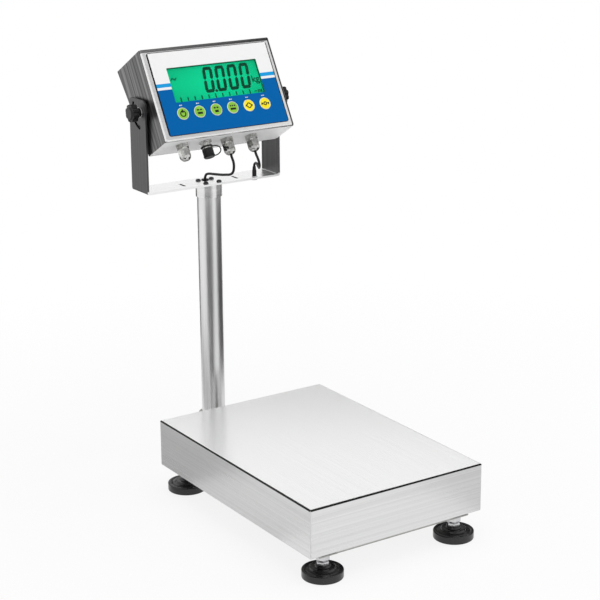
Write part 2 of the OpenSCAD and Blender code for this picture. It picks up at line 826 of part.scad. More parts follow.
module yoke() {
    through = yoke_w + 20;
    inner_w = yoke_w - 2 * yoke_t;
    top = yoke_z + yoke_h;
    color("dimgray") difference() {
        intersection() {
            plate_y(yoke_y, yoke_d) difference() {
                round_rect(yoke_w, yoke_z, top + yoke_bend_r, yoke_bend_r);
                round_rect(inner_w, yoke_z + yoke_t, top + 4 * yoke_bend_r, yoke_bend_r - yoke_t + 1);
            }
            translate([-through / 2, 0, 0]) rotate([90, 0, 90]) linear_extrude(through) arm_outline();
        }
        translate([-through / 2, pivot_y, pivot_z]) along_x(knob_stud_d / 2 + run, through);
        translate([0, pivot_y, pivot_z]) arc_slot(through);
        translate([0, column_y, yoke_z - 1]) {
            at_corners(yoke_screw, yoke_screw) cylinder(d = yoke_screw_d + 2 * slip, h = yoke_t + 2);
            translate([0, cable_hole_y, 0]) cylinder(r = cable_hole_r, h = yoke_t + 2);
            for (x = [-plate_slot_x, plate_slot_x]) translate([x, 0, 0]) {
                reach = (plate_slot_l - plate_slot_w) / 2;
                block([-plate_slot_w / 2, -reach, 0], [plate_slot_w / 2, reach, yoke_t + 2]);
                for (y = [-reach, reach]) translate([0, y, 0]) cylinder(d = plate_slot_w, h = yoke_t + 2);
            }
        }
        translate([power_plug.x, power_plug.y, yoke_z - 1]) cylinder(r = plug_hole_r, h = yoke_t + 2);
    }
}

// Rubber grommet in the plate's cable hole
module cable_grommet() {
    color("black") translate([0, column_y + cable_hole_y, yoke_plate_top]) difference() {
        union() {
            cylinder(r = cable_hole_r + grommet_lip, h = grommet_h);
            translate([0, 0, -yoke_t - grommet_tail])
                cylinder(r = cable_hole_r - slip, h = yoke_t + grommet_tail + hair);
        }
        translate([0, 0, -yoke_t - grommet_tail - 1])
            cylinder(r = cable_r + slip, h = yoke_t + grommet_tail + grommet_h + 2);
    }
}

// Cables

module cell_lead() { color("black") swept_tube(lead_route, cable_r, [1, 0, 0.2]); }
module load_cell_cable() { color("black") swept_tube(load_cell_route, cable_r, [1, 0, 0]); }
module power_cable() { color("black") swept_tube(power_route, cable_r, [1, -0.6, 0]); }

// The power cable's plug, in a flanged socket near the plate's front edge
module power_plug_body() {
    color("black") translate(power_plug) rotate_extrude() polygon([
        [0, plug_socket_h], [plug_r, plug_socket_h], [plug_r, plug_l * 0.6], [plug_r - 0.4, plug_l * 0.65],
        [cable_r + 0.6, plug_l - 0.5], [cable_r + 0.4, plug_l], [0, plug_l]]);
}
module power_socket() {
    color("silver") translate(power_plug) {
        cylinder(r = plug_socket_r, h = plug_socket_h);
        translate([0, 0, -yoke_t]) cylinder(r = plug_hole_r - slip, h = yoke_t + hair);
        translate([0, 0, -yoke_t - plug_nut_h]) hex(plug_nut_af, plug_nut_h);
    }
}

// Indicator housing

// A wedge in the indicator's frame: from y0 to the back plane less inset, between two heights
module wedge(w, y0, inset, z0, z1) {
    rotate([90, 0, 90]) translate([0, 0, -w / 2]) linear_extrude(w)
        polygon([[y0, z0], [back_y(z0) - inset, z0], [back_y(z1) - inset, z1], [y0, z1]]);
}

// Places of the ports on the indicator's underside
module at_port(x) {
    translate([x, port_y, port_z]) children();
}

// Places of the pivots on the two sides: +X out of the side
module at_sides() {
    for (side = [0, 1]) mirror([side, 0, 0]) translate([head_w / 2, 0, 0]) children();
}

// Place of the guide pin on a side
module at_pin() {
    rotate([head_lean + pin_at, 0, 0]) translate([0, slot_r, 0]) children();
}

// Places of the rear cover's screws, in the plane of the back
module at_rear_screws() {
    back_h = head_h / cos(back_angle);
    edge = head_wall + flange_w / 2;
    for (x = [-1, 0, 1], z = [edge, back_h - edge]) translate([x * (head_w / 2 - edge), 0, z]) children();
}

module housing() {
    in_w = head_w - 2 * head_wall;
    open_w = in_w - 2 * flange_w;
    in_z0 = box_z0 + head_wall;
    in_z1 = box_z1 - head_wall;
    color("gray") on_head() difference() {
        wedge(head_w, box_front, cover_t, box_z0, box_z1);
        wedge(in_w, box_front + head_wall, cover_t + head_wall, in_z0, in_z1);
        wedge(open_w, box_front - 1, -1, in_z0 + flange_w, in_z1 - flange_w);
        for (x = concat(gland_x, [data_x])) at_port(x) translate([0, 0, -1])
            cylinder(r = gland_thread_r + slip, h = head_wall + 2);
        at_sides() {
            translate([-head_wall - 1, 0, 0]) along_x(knob_stud_d / 2 + run, head_wall + 2);
            at_pin() translate([-head_wall - 1, 0, 0]) along_x(pin_r + slip, head_wall + 2);
        }
        on_back() at_rear_screws() translate([0, -cover_t - head_wall - 2, 0])
            along_y(rear_screw_d / 2 + slip, cover_t + head_wall + 3);
    }
}

module rear_cover() {
    color("silver") on_head() difference() {
        rotate([90, 0, 90]) translate([0, 0, -head_w / 2]) linear_extrude(head_w) polygon([
            [back_y(box_z0) - cover_t, box_z0], [back_y(box_z0), box_z0],
            [back_y(box_z1), box_z1], [back_y(box_z1) - cover_t, box_z1]]);
        on_back() at_rear_screws() translate([0, -2 * cover_t, 0])
            along_y(rear_screw_d / 2 + slip, 3 * cover_t);
    }
}

module rear_screws() {
    color("silver") on_head() on_back() at_rear_screws() {
        rotate([-90, 0, 0]) rotate_extrude() polygon([
            [0, 0], [rear_screw_d, 0], [rear_screw_d * 0.9, 1.2], [rear_screw_d * 0.5, 2], [0, 2]]);
        translate([0, -cover_t - head_wall - 3, 0]) along_y(rear_screw_d / 2, cover_t + head_wall + 3 + hair);
    }
}

// Places of the keys: +Y into the panel
function key_x(k) = (k - (key_count + 1) / 2) * key_pitch;
module at_key(k) {
    translate([key_x(k), 0, key_z]) children();
}
module at_keys() {
    for (k = [1:key_count]) at_key(k) children();
}

// The display's window in the overlay and in the panel
module window_outline(grow) {
    round_rect(window_w + 2 * grow, window_z - grow, window_z + window_h + grow, window_corner_r);
}

module front_panel() {
    color("silver") on_head() {
        difference() {
            plate_y(face_y, panel_t) round_rect(head_w, box_z0, box_z1, panel_corner_r);
            plate_y(face_y - 1, panel_t + 2) window_outline(slip);
            at_keys() translate([0, face_y - 1, 0]) along_y(key_r + run, panel_t + 2);
        }
        for (x = [-board_stud_x, board_stud_x], z = [board_z0 + board_stud_in, board_z1 - board_stud_in])
            translate([x, panel_back - hair, z])
                along_y(board_stud_r, board_y - panel_back + hair);
    }
}

module panel_gasket() {
    in_w = head_w - 2 * head_wall - 2 * flange_w;
    color("black") on_head() plate_y(panel_back, gasket_t) difference() {
        round_rect(head_w - 2 * gasket_inset, box_z0 + gasket_inset, box_z1 - gasket_inset, gasket_corner_r);
        round_rect(in_w, box_z0 + head_wall + flange_w, box_z1 - head_wall - flange_w, gasket_corner_r);
    }
}

module overlay() {
    margin = (head_h - overlay_h) / 2;
    color("royalblue") on_head() difference() {
        plate_y(overlay_y, overlay_t)
            round_rect(overlay_w, box_z0 + margin, box_z1 - margin, overlay_corner_r);
        plate_y(overlay_y - 1, overlay_t + 2) window_outline(slip);
        at_keys() translate([0, overlay_y - 1, 0]) along_y(key_r + run, overlay_t + 2);
    }
}

module display_lens() {
    color([0.7, 0.9, 0.8, 0.5]) on_head()
        plate_y(overlay_y + slip, panel_back - overlay_y - 2 * slip) window_outline(-slip);
}

module lcd_panel() {
    color("mediumseagreen") on_head() plate_y(panel_back + lcd_gap, board_y - panel_back - 2 * lcd_gap)
        window_outline(lcd_margin);
}

module main_board() {
    color("darkgreen") on_head()
        plate_y(board_y, board_t) round_rect(board_w, board_z0, board_z1, board_corner_r);
}

module key_switches() {
    color("black") on_head() at_keys() {
        block([-switch_w / 2, board_y - switch_h + plunger_h, -switch_w / 2],
              [switch_w / 2, board_y, switch_w / 2]);
        translate([0, board_y - switch_h, 0]) along_y(plunger_r, switch_h);
    }
}

// A battery pack fixed to the inside of the rear cover
module battery() {
    color("dimgray") on_head() on_back()
        translate([-battery_size.x / 2, -cover_t - battery_size.y, battery_up]) cube(battery_size);
}

// Tilt pivots: a spacer bush and a washer on each side of the arm, and the guide pin
module pivot_bushes() {
    reach = yoke_gap + yoke_t;
    color("silver") on_head() at_sides() {
        difference() {
            union() {
                along_x(bush_r, yoke_gap - slip);
                translate([reach + slip, 0, 0]) along_x(bush_r, washer_t - 2 * slip);
                translate([-head_wall - pivot_nut_l, 0, 0]) along_x(pivot_nut_r, pivot_nut_l);
            }
            translate([-head_wall - pivot_nut_l - 1, 0, 0])
                along_x(knob_stud_d / 2 + run, head_wall + pivot_nut_l + reach + washer_t + 2);
        }
        at_pin() {
            translate([-head_wall - pin_head_l, 0, 0]) {
                along_x(pin_r, head_wall + pin_head_l + reach + pin_end);
                along_x(pin_head_r, pin_head_l);
            }
        }
    }
}

// A star grip on a boss, with the stud that clamps the arm
module knob() {
    start = yoke_gap + yoke_t + washer_t;
    scallop_r = knob_d * 0.12;
    color("black") translate([head_w / 2, 0, 0]) {
        translate([start, 0, 0]) along_x(knob_boss_r, knob_boss + hair);
        translate([start + knob_boss, 0, 0]) rotate([90, 0, 90]) {
            linear_extrude(knob_t - knob_crown) difference() {
                circle(d = knob_d);
                for (k = [0:knob_lobes - 1]) rotate([0, 0, (k + 0.5) * 360 / knob_lobes])
                    translate([knob_d / 2 + scallop_r * 0.45, 0]) circle(scallop_r);
            }
            rotate_extrude() polygon([
                [0, 0], [knob_d * 0.4, 0], [knob_d * 0.4, knob_t - knob_crown],
                [knob_d * 0.33, knob_t], [0, knob_t]]);
        }
        translate([-stud_in, 0, 0]) along_x(knob_stud_d / 2, stud_in + start + hair);
    }
}
module knob_right() { on_head() knob(); }
module knob_left() { on_head() mirror([1, 0, 0]) knob(); }

// A key: a round cap through the panel, a flange behind it and a stem to its switch
module key(k) {
    back = panel_back + run;
    color(k > 4 ? "gold" : "yellowgreen") on_head() at_key(k) {
        translate([0, overlay_y - key_proud, 0]) along_y(key_r, back - overlay_y + key_proud + hair);
        translate([0, back, 0]) along_y(key_r + key_flange, key_flange_t);
        translate([0, back, 0]) along_y(key_stem_r, board_y - switch_h - key_travel - slip - back);
    }
}
module key_1() { key(1); }
module key_2() { key(2); }
module key_3() { key(3); }
module key_4() { key(4); }
module key_5() { key(5); }
module key_6() { key(6); }

// Ports on the underside

module cable_glands() {
    color("silver") on_head() for (x = gland_x) at_port(x) difference() {
        union() {
            translate([0, 0, -gland_hex_h]) hex(gland_af, gland_hex_h);
            translate([0, 0, -gland_nut_z - gland_neck])
                cylinder(r = gland_body_r, h = gland_nut_z + gland_neck);
            translate([0, 0, -hair]) cylinder(r = gland_thread_r, h = gland_thread_l);
        }
        translate([0, 0, -gland_l]) cylinder(r = cable_r + run, h = 2 * gland_l);
    }
}

// Domed clamping nuts below, the spare gland's one closed, and lock nuts inside the housing
module gland_nuts() {
    nut_l = gland_l - gland_nut_z;
    color("silver") on_head() {
        for (x = gland_x) at_port(x) translate([0, 0, -gland_nut_z]) difference() {
            union() {
                translate([0, 0, -nut_l * 0.6]) hex(gland_af - 1, nut_l * 0.6);
                rotate([180, 0, 0]) rotate_extrude() polygon([
                    [0, 0], [gland_af * 0.47, 0], [gland_af * 0.47, nut_l * 0.65],
                    [gland_af * 0.42, nut_l * 0.82], [gland_af * 0.32, nut_l * 0.95],
                    [gland_af * 0.25, nut_l], [0, nut_l]]);
            }
            translate([0, 0, -gland_neck - run]) cylinder(r = gland_body_r + slip, h = gland_neck + run + 1);
            if (x != spare_x) translate([0, 0, -nut_l - 1]) cylinder(r = cable_r + slip, h = nut_l);
        }
        for (x = concat(gland_x, [data_x])) at_port(x) translate([0, 0, head_wall]) difference() {
            hex(gland_af - 1, lock_nut_in);
            translate([0, 0, -1]) cylinder(r = gland_thread_r + slip, h = lock_nut_in + 2);
        }
    }
}

// A round data socket, and its screw cap on a tether
module data_socket() {
    color("darkgray") on_head() at_port(data_x) {
        rotate([180, 0, 0]) rotate_extrude() polygon([
            [0, 0], [data_r + data_flange, 0], [data_r + data_flange, data_flange_t - 0.5],
            [data_r + data_flange - 0.5, data_flange_t], [data_r, data_flange_t],
            [data_r, data_body_l], [data_thread_r, data_body_l],
            [data_thread_r, data_body_l + data_thread_l], [0, data_body_l + data_thread_l]]);
        translate([0, 0, -hair]) cylinder(r = gland_thread_r, h = gland_thread_l);
    }
}

module data_cap() {
    grip_z = cap_end + cap_groove;
    color("black") on_head() at_port(data_x) translate([0, 0, cap_z]) difference() {
        union() {
            cylinder(r = (cap_r + cap_groove_r) / 2, h = cap_end);
            cylinder(r = cap_groove_r, h = grip_z);
            translate([0, 0, grip_z]) linear_extrude(cap_l - grip_z) difference() {
                circle(cap_r);
                for (k = [0:cap_flutes - 1]) rotate([0, 0, k * 360 / cap_flutes])
                    translate([cap_r + cap_flute_r * 0.4, 0]) circle(cap_flute_r, $fn = 16);
            }
        }
        translate([0, 0, cap_l - cap_bore_l]) cylinder(r = data_thread_r + run, h = cap_bore_l + 1);
    }
}

// Two rings joined by a loop of cord: one round the socket, one in the cap's groove
module cap_tether() {
    color("black") on_head() at_port(data_x) {
        difference() {
            translate([0, 0, tether_ring_z]) cylinder(r = data_r + slip + tether_ring_t, h = tether_ring_h);
            translate([0, 0, tether_ring_z - 1]) cylinder(r = data_r + slip, h = tether_ring_h + 2);
        }
        translate([0, 0, cap_z + cap_end + run]) difference() {
            cylinder(r = cap_r + 0.4, h = cap_ring_h);
            translate([0, 0, -1]) cylinder(r = cap_groove_r + run, h = cap_ring_h + 2);
        }
        swept_tube(tether_route, tether_r, [0, 1, 0]);
    }
}

// Moves a piece from the platform's frame to the object's frame
module place() {
    translate([0, shift_y, 0]) children();
}

place() side_rail_left();
place() side_rail_right();
place() front_cross_rail();
place() rear_cross_rail();
place() cell_beam();
place() foot_nuts();
place() cell_spacers();
place() load_cell();
place() platform_bolts();
place() top_spine();
place() top_arm_front();
place() top_arm_rear();
place() pan_buffers();
place() column_arm();
place() column_socket();
place() column_screws();
place() column_tube();
place() column_collar();
place() yoke();
place() cable_grommet();
place() cell_lead();
place() load_cell_cable();
place() power_socket();
place() power_plug_body();
place() power_cable();
place() pan();
place() foot_pad_front_left();
place() foot_stud_front_left();
place() foot_pad_front_right();
place() foot_stud_front_right();
place() foot_pad_rear_left();
place() foot_stud_rear_left();
place() foot_pad_rear_right();
place() foot_stud_rear_right();
place() housing();
place() rear_cover();
place() rear_screws();
place() front_panel();
place() panel_gasket();
place() overlay();
place() display_lens();
place() lcd_panel();
place() main_board();
place() key_switches();
place() battery();
place() pivot_bushes();
place() cable_glands();
place() gland_nuts();
place() data_socket();
place() cap_tether();
place() key_1();
place() key_2();
place() key_3();
place() key_4();
place() key_5();
place() key_6();
place() knob_left();
place() knob_right();
place() data_cap();
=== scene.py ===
# %% [markdown]
# # A bench scale with a tilting indicator
# A bench scale weighs goods on a low steel platform and shows the weight on an indicator,
# which tilts in a yoke on top of a column. The imported CAD model comes in first and is the
# fixed frame of this scene: every node already stands where it belongs, in metres, so
# nothing has to be fitted by eye. The finished model has to stay inside it.

# %% Load the CAD model
import json
import math

import bmesh
import bpy
from mathutils import Matrix, Quaternion, Vector
from mathutils.geometry import interpolate_bezier

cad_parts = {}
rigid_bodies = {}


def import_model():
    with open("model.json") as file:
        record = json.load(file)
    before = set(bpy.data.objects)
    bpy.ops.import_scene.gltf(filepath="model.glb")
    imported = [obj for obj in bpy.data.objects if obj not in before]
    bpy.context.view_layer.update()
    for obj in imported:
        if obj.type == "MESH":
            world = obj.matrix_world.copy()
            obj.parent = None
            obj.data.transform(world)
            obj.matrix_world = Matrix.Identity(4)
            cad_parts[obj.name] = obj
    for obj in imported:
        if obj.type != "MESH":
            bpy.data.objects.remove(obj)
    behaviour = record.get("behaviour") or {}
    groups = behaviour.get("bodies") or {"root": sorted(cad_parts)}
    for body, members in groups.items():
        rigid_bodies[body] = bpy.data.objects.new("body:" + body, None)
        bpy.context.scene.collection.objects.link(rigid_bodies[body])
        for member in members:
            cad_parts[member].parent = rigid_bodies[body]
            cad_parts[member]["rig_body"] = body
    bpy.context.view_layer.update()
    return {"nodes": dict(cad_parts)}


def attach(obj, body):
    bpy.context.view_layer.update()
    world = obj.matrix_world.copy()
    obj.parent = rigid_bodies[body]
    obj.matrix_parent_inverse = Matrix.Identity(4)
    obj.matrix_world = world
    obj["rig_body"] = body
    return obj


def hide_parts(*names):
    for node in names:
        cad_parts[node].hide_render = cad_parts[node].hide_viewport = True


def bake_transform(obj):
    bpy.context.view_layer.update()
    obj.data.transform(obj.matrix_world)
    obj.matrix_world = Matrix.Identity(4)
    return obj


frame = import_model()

scene = bpy.context.scene
nodes = frame["nodes"]

# %% [markdown]
# ## Camera
# The photograph shows the scale from the front left, a little above the indicator,
# through a long lens that keeps the platform's edges almost parallel. A camera can be
# aimed by a Track To constraint, but that gives no roll, and the picture has a slight
# one. So place, aim and roll were measured from the four corners of the weighing pan and
# go into one rotation.

# %% Camera
AZIMUTH, ELEVATION, ROLL = (math.radians(a) for a in (-33.38, 16.86, -0.40))
CAMERA_PLACE = (-1.361, -2.1046, 1.076)
FOCAL_LENGTH, SENSOR_WIDTH = 104.5, 36

towards_camera = Vector((
    math.sin(AZIMUTH) * math.cos(ELEVATION),
    -math.cos(AZIMUTH) * math.cos(ELEVATION),
    math.sin(ELEVATION),
))
camera = bpy.data.objects.new("photo_camera", bpy.data.cameras.new("photo_camera"))
camera.data.sensor_width = SENSOR_WIDTH
camera.data.lens = FOCAL_LENGTH
camera.location = CAMERA_PLACE
camera.rotation_mode = "QUATERNION"
camera.rotation_quaternion = (
    (-towards_camera).to_track_quat("-Z", "Y") @ Quaternion((0, 0, 1), ROLL)
)
scene.collection.objects.link(camera)
scene.camera = camera
print("camera at", tuple(camera.location))

# %% [markdown]
# ## Places
# The CAD source draws the platform about its own middle, and the indicator upright with
# its tilt axis at the origin, as each would be drawn on its own sheet. Points are written
# here in the same way, in millimetres. They could be worked out by hand in the frame of
# the scene, but two small functions do it without slips, and every number stays one that
# the drawing has too.

# %% Places
MM = 0.001
PLATFORM_SHIFT = -78.6016
COLUMN_Y = 300
PIVOT_Y, PIVOT_Z = 293, 582.5
LEAN = math.radians(30)
PIVOT = Vector((0, PIVOT_Y + PLATFORM_SHIFT, PIVOT_Z)) * MM
HEAD = Matrix.Translation(PIVOT) @ Matrix.Rotation(-LEAN, 4, "X")
TO_HEAD = HEAD.inverted()


def on_platform(x, y, z):
    return Vector((x, y + PLATFORM_SHIFT, z)) * MM


def on_head(x, y, z):
    return HEAD @ (Vector((x, y, z)) * MM)


def shift(x, y, z):
    return Matrix.Translation(Vector((x, y, z)) * MM)


print("tilt axis at", tuple(round(v, 4) for v in PIVOT))

# %% [markdown]
# ## Shader arithmetic
# A procedural finish is a small sum, such as a base value plus a noise times a strength.
# In the node editor that is a net of Math nodes. Here a Value wraps an output socket, and
# its operators add those nodes, so a finish reads like the sum that it is.

# %% Values
class Value:
    def __init__(self, finish, socket):
        self.finish, self.socket = finish, socket

    def math(self, operation, *values):
        return self.finish.node("Math", {"operation": operation}, values)

    def __add__(self, other):
        return self.math("ADD", self, other)

    def __radd__(self, other):
        return self.math("ADD", other, self)

    def __sub__(self, other):
        return self.math("SUBTRACT", self, other)

    def __rsub__(self, other):
        return self.math("SUBTRACT", other, self)

    def __mul__(self, other):
        return self.math("MULTIPLY", self, other)

    def __rmul__(self, other):
        return self.math("MULTIPLY", other, self)

    def __gt__(self, other):
        return self.math("GREATER_THAN", self, other)

    def __lt__(self, other):
        return self.math("LESS_THAN", self, other)

    def __abs__(self):
        return self.math("ABSOLUTE", self)

    def either(self, other):
        return self.math("MAXIMUM", self, other)


print("values add, subtract, multiply and compare")

# %% [markdown]
# A Finish is a material being written. Its node() adds any node by its type, with its
# settings first and its sockets second, and the other methods are the few nodes that
# every finish needs. Colours are written as on a colour card and turned into linear
# light, which is what Blender's sockets expect.

# %% Finishes
class Finish:
    def __init__(self, owner):
        owner.use_nodes = True
        self.owner, self.tree = owner, owner.node_tree
        self.tree.nodes.clear()

    def node(self, kind, settings=(), sockets=(), output=0):
        made = self.tree.nodes.new("ShaderNode" + kind)
        for name, value in dict(settings).items():
            setattr(made, name, value)
        pairs = sockets.items() if isinstance(sockets, dict) else enumerate(sockets)
        for key, value in pairs:
            if isinstance(value, Value):
                self.tree.links.new(value.socket, made.inputs[key])
            else:
                made.inputs[key].default_value = value
        return Value(self, made.outputs[output]) if made.outputs else None

    def place(self):
        return self.node("TexCoord", output="Object")

    def mix(self, factor, a, b):
        colours = {0: factor, 6: a, 7: b}
        return self.node("Mix", {"data_type": "RGBA"}, colours, output=2)

    def noise(self, place, scale, detail=3.0):
        return self.node("TexNoise", (), {
            "Vector": place, "Scale": scale, "Detail": detail,
        })

    def spread(self, value, low, high):
        limits = {"Value": value, "From Min": low, "From Max": high}
        return self.node("MapRange", {"clamp": True}, limits)

    def bump(self, height, strength, distance):
        return self.node("Bump", (), {
            "Strength": strength, "Distance": distance, "Height": height,
        })

    def end(self, shader, kind="OutputMaterial"):
        self.node(kind, (), {"Surface": shader})
        return self.owner


def new_finish(name):
    return Finish(bpy.data.materials.new(name))


def linear(part):
    return part / 12.92 if part <= 0.04045 else ((part + 0.055) / 1.055) ** 2.4


def tone(code):
    return (*(linear(int(code[i : i + 2], 16) / 255) for i in (1, 3, 5)), 1)


print("middle grey is", round(tone("#808080")[0], 3), "in linear light")

# %% [markdown]
# ## Studio
# Polished steel has hardly any colour of its own and shows what stands around it, so the
# studio matters as much as the finish. It is a white room: the world and the floor look
# white to the camera and in reflections, and light the object more gently, which a Light
# Path node tells apart. More light would give a white background too, but the pale steel
# would lose its drawing in it.

# %% World
WHITE = (1, 1, 1, 1)
ROOM_LIGHT = 0.45


def seen_rays(finish):
    kinds = ("Is Camera Ray", "Is Glossy Ray", "Is Transmission Ray")
    by_eye, by_gloss, by_glass = (finish.node("LightPath", output=kind) for kind in kinds)
    return by_eye.either(by_gloss).either(by_glass)


scene.view_settings.view_transform = "Standard"
scene.world = bpy.data.worlds.new("white_room")
room = Finish(scene.world)
shown = room.node("Background", (), {"Color": WHITE, "Strength": 1.0})
light = room.node("Background", (), {"Color": WHITE, "Strength": ROOM_LIGHT})
room.end(room.node("MixShader", (), (seen_rays(room), light, shown)), "OutputWorld")
print("white room, which lights at", ROOM_LIGHT)

# %% [markdown]
# The floor is a large matt sheet. A plain white one would look grey at its far end, where
# less light falls, so it glows a little to the eye and the glow grows with the distance
# from the middle. Near the feet the matt paint stays, and it keeps their soft shadow.

# %% Floor
FLOOR_SIZE, FLOOR_DROP = 28, 0.0002
FLOOR_GREY = (0.86, 0.86, 0.86, 1)
NEAR_WHITE = 0.86
NEAR, FAR = 0.4, 1.2


def stage_sheet(name, finish, size, place):
    mesh = bmesh.new()
    bmesh.ops.create_grid(mesh, x_segments=1, y_segments=1, size=0.5)
    mesh.transform(place @ Matrix.Diagonal((*size, 1, 1)))
    data = bpy.data.meshes.new(name)
    mesh.to_mesh(data)
    mesh.free()
    data.materials.append(finish)
    sheet = bpy.data.objects.new(name, data)
    scene.collection.objects.link(sheet)
    return sheet


paint = new_finish("studio_floor")
matt = paint.node("BsdfDiffuse", (), {"Color": FLOOR_GREY})
glow = paint.node("Emission", (), {"Color": WHITE, "Strength": 1.0})
from_middle = paint.node(
    "VectorMath", {"operation": "LENGTH"}, (paint.place(),), output=1,
)
whiteness = NEAR_WHITE + paint.spread(from_middle, NEAR, FAR) * (1 - NEAR_WHITE)
floor_mix = paint.node("MixShader", (), (seen_rays(paint) * whiteness, matt, glow))
stage_sheet(
    "studio_floor", paint.end(floor_mix), (FLOOR_SIZE, FLOOR_SIZE),
    Matrix.Translation((0, 0, -FLOOR_DROP)),
)
print("floor of", FLOOR_SIZE, "metres")

# %% [markdown]
# ## Cards
# Photographers stand dark and pale cards just out of the picture to draw bands on bright
# metal, and the same is done here. Dark cards round the column make its bands, and pale
# ones on the floor and behind the scale step the white of the pan and its skirts. The
# bands could be painted into the steel, but then they would stay in place when the view
# changes. Only reflections see the cards: they cast no shadow and light nothing.

# %% Cards
STANDING_CARDS = (  # name, shade, width, height, azimuth, distance from the column
    ("front_card", 0.18, 0.54, 0.34, -41, 0.55),
    ("front_far_card", 0.18, 0.4, 0.22, -12, 0.95),
    ("right_card", 0.14, 0.95, 0.33, 76, 0.6),
    ("right_low_card", 0.14, 0.62, 0.2, 76, 0.4),
    ("rear_card", 0.08, 0.26, 0.4, -168, 0.55),
    ("back_card", 0.82, 1.7, 0.5, 147, 0.85),
)
LYING_CARDS = (  # name, shade, size, place
    ("left_middle_card", 0.93, (0.40, 0.26), (-0.36, -0.01, 0.001)),
    ("left_floor_card", 0.58, (0.40, 0.60), (-0.36, 0.42, 0.001)),
    ("front_floor_card", 0.74, (0.40, 0.50), (0.40, -0.56, 0.001)),
    ("ceiling_card", 0.05, (1.1, 1.1), (0.62, 0.85, 1.5)),
    ("bezel_card", 0.85, (0.9, 0.6), (0.55, -0.78, 1.62)),
)
COLUMN_FOOT = on_platform(0, COLUMN_Y, 0)


def card(name, shade, size, place):
    paint = new_finish(name)
    matt = paint.node("BsdfDiffuse", (), {"Color": (shade, shade, shade, 1)})
    sheet = stage_sheet(name, paint.end(matt), size, place)
    sheet.visible_camera = sheet.visible_shadow = sheet.visible_diffuse = False


def standing(azimuth, distance, height):
    turn = Matrix.Rotation(math.radians(azimuth), 4, "Z")
    stand = Matrix.Translation((0, -distance, height / 2))
    upright = Matrix.Rotation(math.pi / 2, 4, "X")
    return Matrix.Translation(COLUMN_FOOT) @ turn @ (stand @ upright)


for name, shade, width, height, azimuth, distance in STANDING_CARDS:
    card(name, shade, (width, height), standing(azimuth, distance, height))
for name, shade, size, place in LYING_CARDS:
    card(name, shade, size, Matrix.Translation(place))
print(len(STANDING_CARDS) + len(LYING_CARDS), "cards")

# %% [markdown]
# ## Lamps
# Three softboxes light the scale from above and from both sides. A sun lamp would be one
# line shorter, but it draws hard shadows. The softboxes are hidden from reflections,
# because the white square of a lamp would clip on the pan; what the steel shows are the
# room and the cards.

# %% Lamps
SOFTBOXES = (  # name, place, aim, size, watts
    ("overhead_softbox", (0.1, -0.1, 2.6), (0, 0, 0.2), 2.4, 36),
    ("front_softbox", (-2.4, -2.2, 1.9), (0, 0, 0.4), 1.6, 14),
    ("side_softbox", (2.4, -1.4, 1.8), (0, 0, 0.3), 1.6, 14),
)
for name, place, aim, size, watts in SOFTBOXES:
    lamp = bpy.data.objects.new(name, bpy.data.lights.new(name, "AREA"))
    lamp.data.shape = "SQUARE"
    lamp.data.size = size
    lamp.data.energy = watts
    lamp.location = place
    lamp.rotation_euler = (Vector(aim) - Vector(place)).to_track_quat("-Z", "Y").to_euler()
    lamp.visible_glossy = False
    scene.collection.objects.link(lamp)
print(len(SOFTBOXES), "softboxes")

# %% [markdown]
# ## Rubber and plastic
# Moulded rubber and plastic are never one even black: the mould leaves a fine grain, and
# handling leaves cloudy patches that shine a little more. One flat colour would look like
# a cut-out. Two noises of one place do it, a fine one for the grain and a broad one for
# the patches, and one function writes all these finishes from their shades, roughness
# and size of grain.

# %% Rubber and plastic
CLOUD_SCALE, CLOUD_LOW, CLOUD_HIGH = 0.04, 0.35, 0.65
SPECK_ROUGH, CLOUD_ROUGH = 0.16, 0.12
GRAIN_DEPTH = 0.0002


def grained(name, shade, darker, *, rough, scale, relief, specular=0.25):
    finish = new_finish(name)
    place = finish.place()
    speck = finish.noise(place, scale)
    cloud = finish.noise(place, scale * CLOUD_SCALE)
    patches = finish.spread(cloud, CLOUD_LOW, CLOUD_HIGH)
    smoothest = rough - (SPECK_ROUGH + CLOUD_ROUGH) / 2
    return finish.end(finish.node("BsdfPrincipled", (), {
        "Base Color": finish.mix(patches, tone(darker), tone(shade)),
        "Roughness": smoothest + speck * SPECK_ROUGH + cloud * CLOUD_ROUGH,
        "Specular IOR Level": specular,
        "Normal": finish.bump(speck, relief, GRAIN_DEPTH),
    }))


cable_jacket = grained(
    "cable_jacket", "#1E1E20", "#131314", rough=0.5, scale=1400.0, relief=0.25,
)
foot_rubber = grained(
    "foot_rubber", "#222223", "#131314", rough=0.22, scale=900.0, relief=0.06,
    specular=0.5,
)
black_rubber = grained(
    "black_rubber", "#242425", "#161617", rough=0.62, scale=1100.0, relief=0.35,
)
black_plastic = grained(
    "black_plastic", "#161618", "#0D0D0F", rough=0.28, scale=1600.0, relief=0.12,
    specular=0.32,
)
board_lacquer = grained(
    "board_lacquer", "#1F6B38", "#124A26", rough=0.35, scale=500.0, relief=0.05,
)
print("five finishes of rubber, plastic and lacquer")

# %% [markdown]
# ## Pieces
# Every new piece is a bmesh that becomes an object at the origin, with its place in its
# mesh, as the CAD nodes have it. Smooth shading stops at edges sharper than a given
# angle, and a Weighted Normal modifier keeps large flat faces flat beside their small
# bevels; a Subdivision Surface would round them as well, but would also pull the sizes
# in. A CAD node whose shape is right keeps its mesh and only gets a finish.

# %% Pieces
SHADING_ANGLE = math.radians(35)
WELD = 1e-6


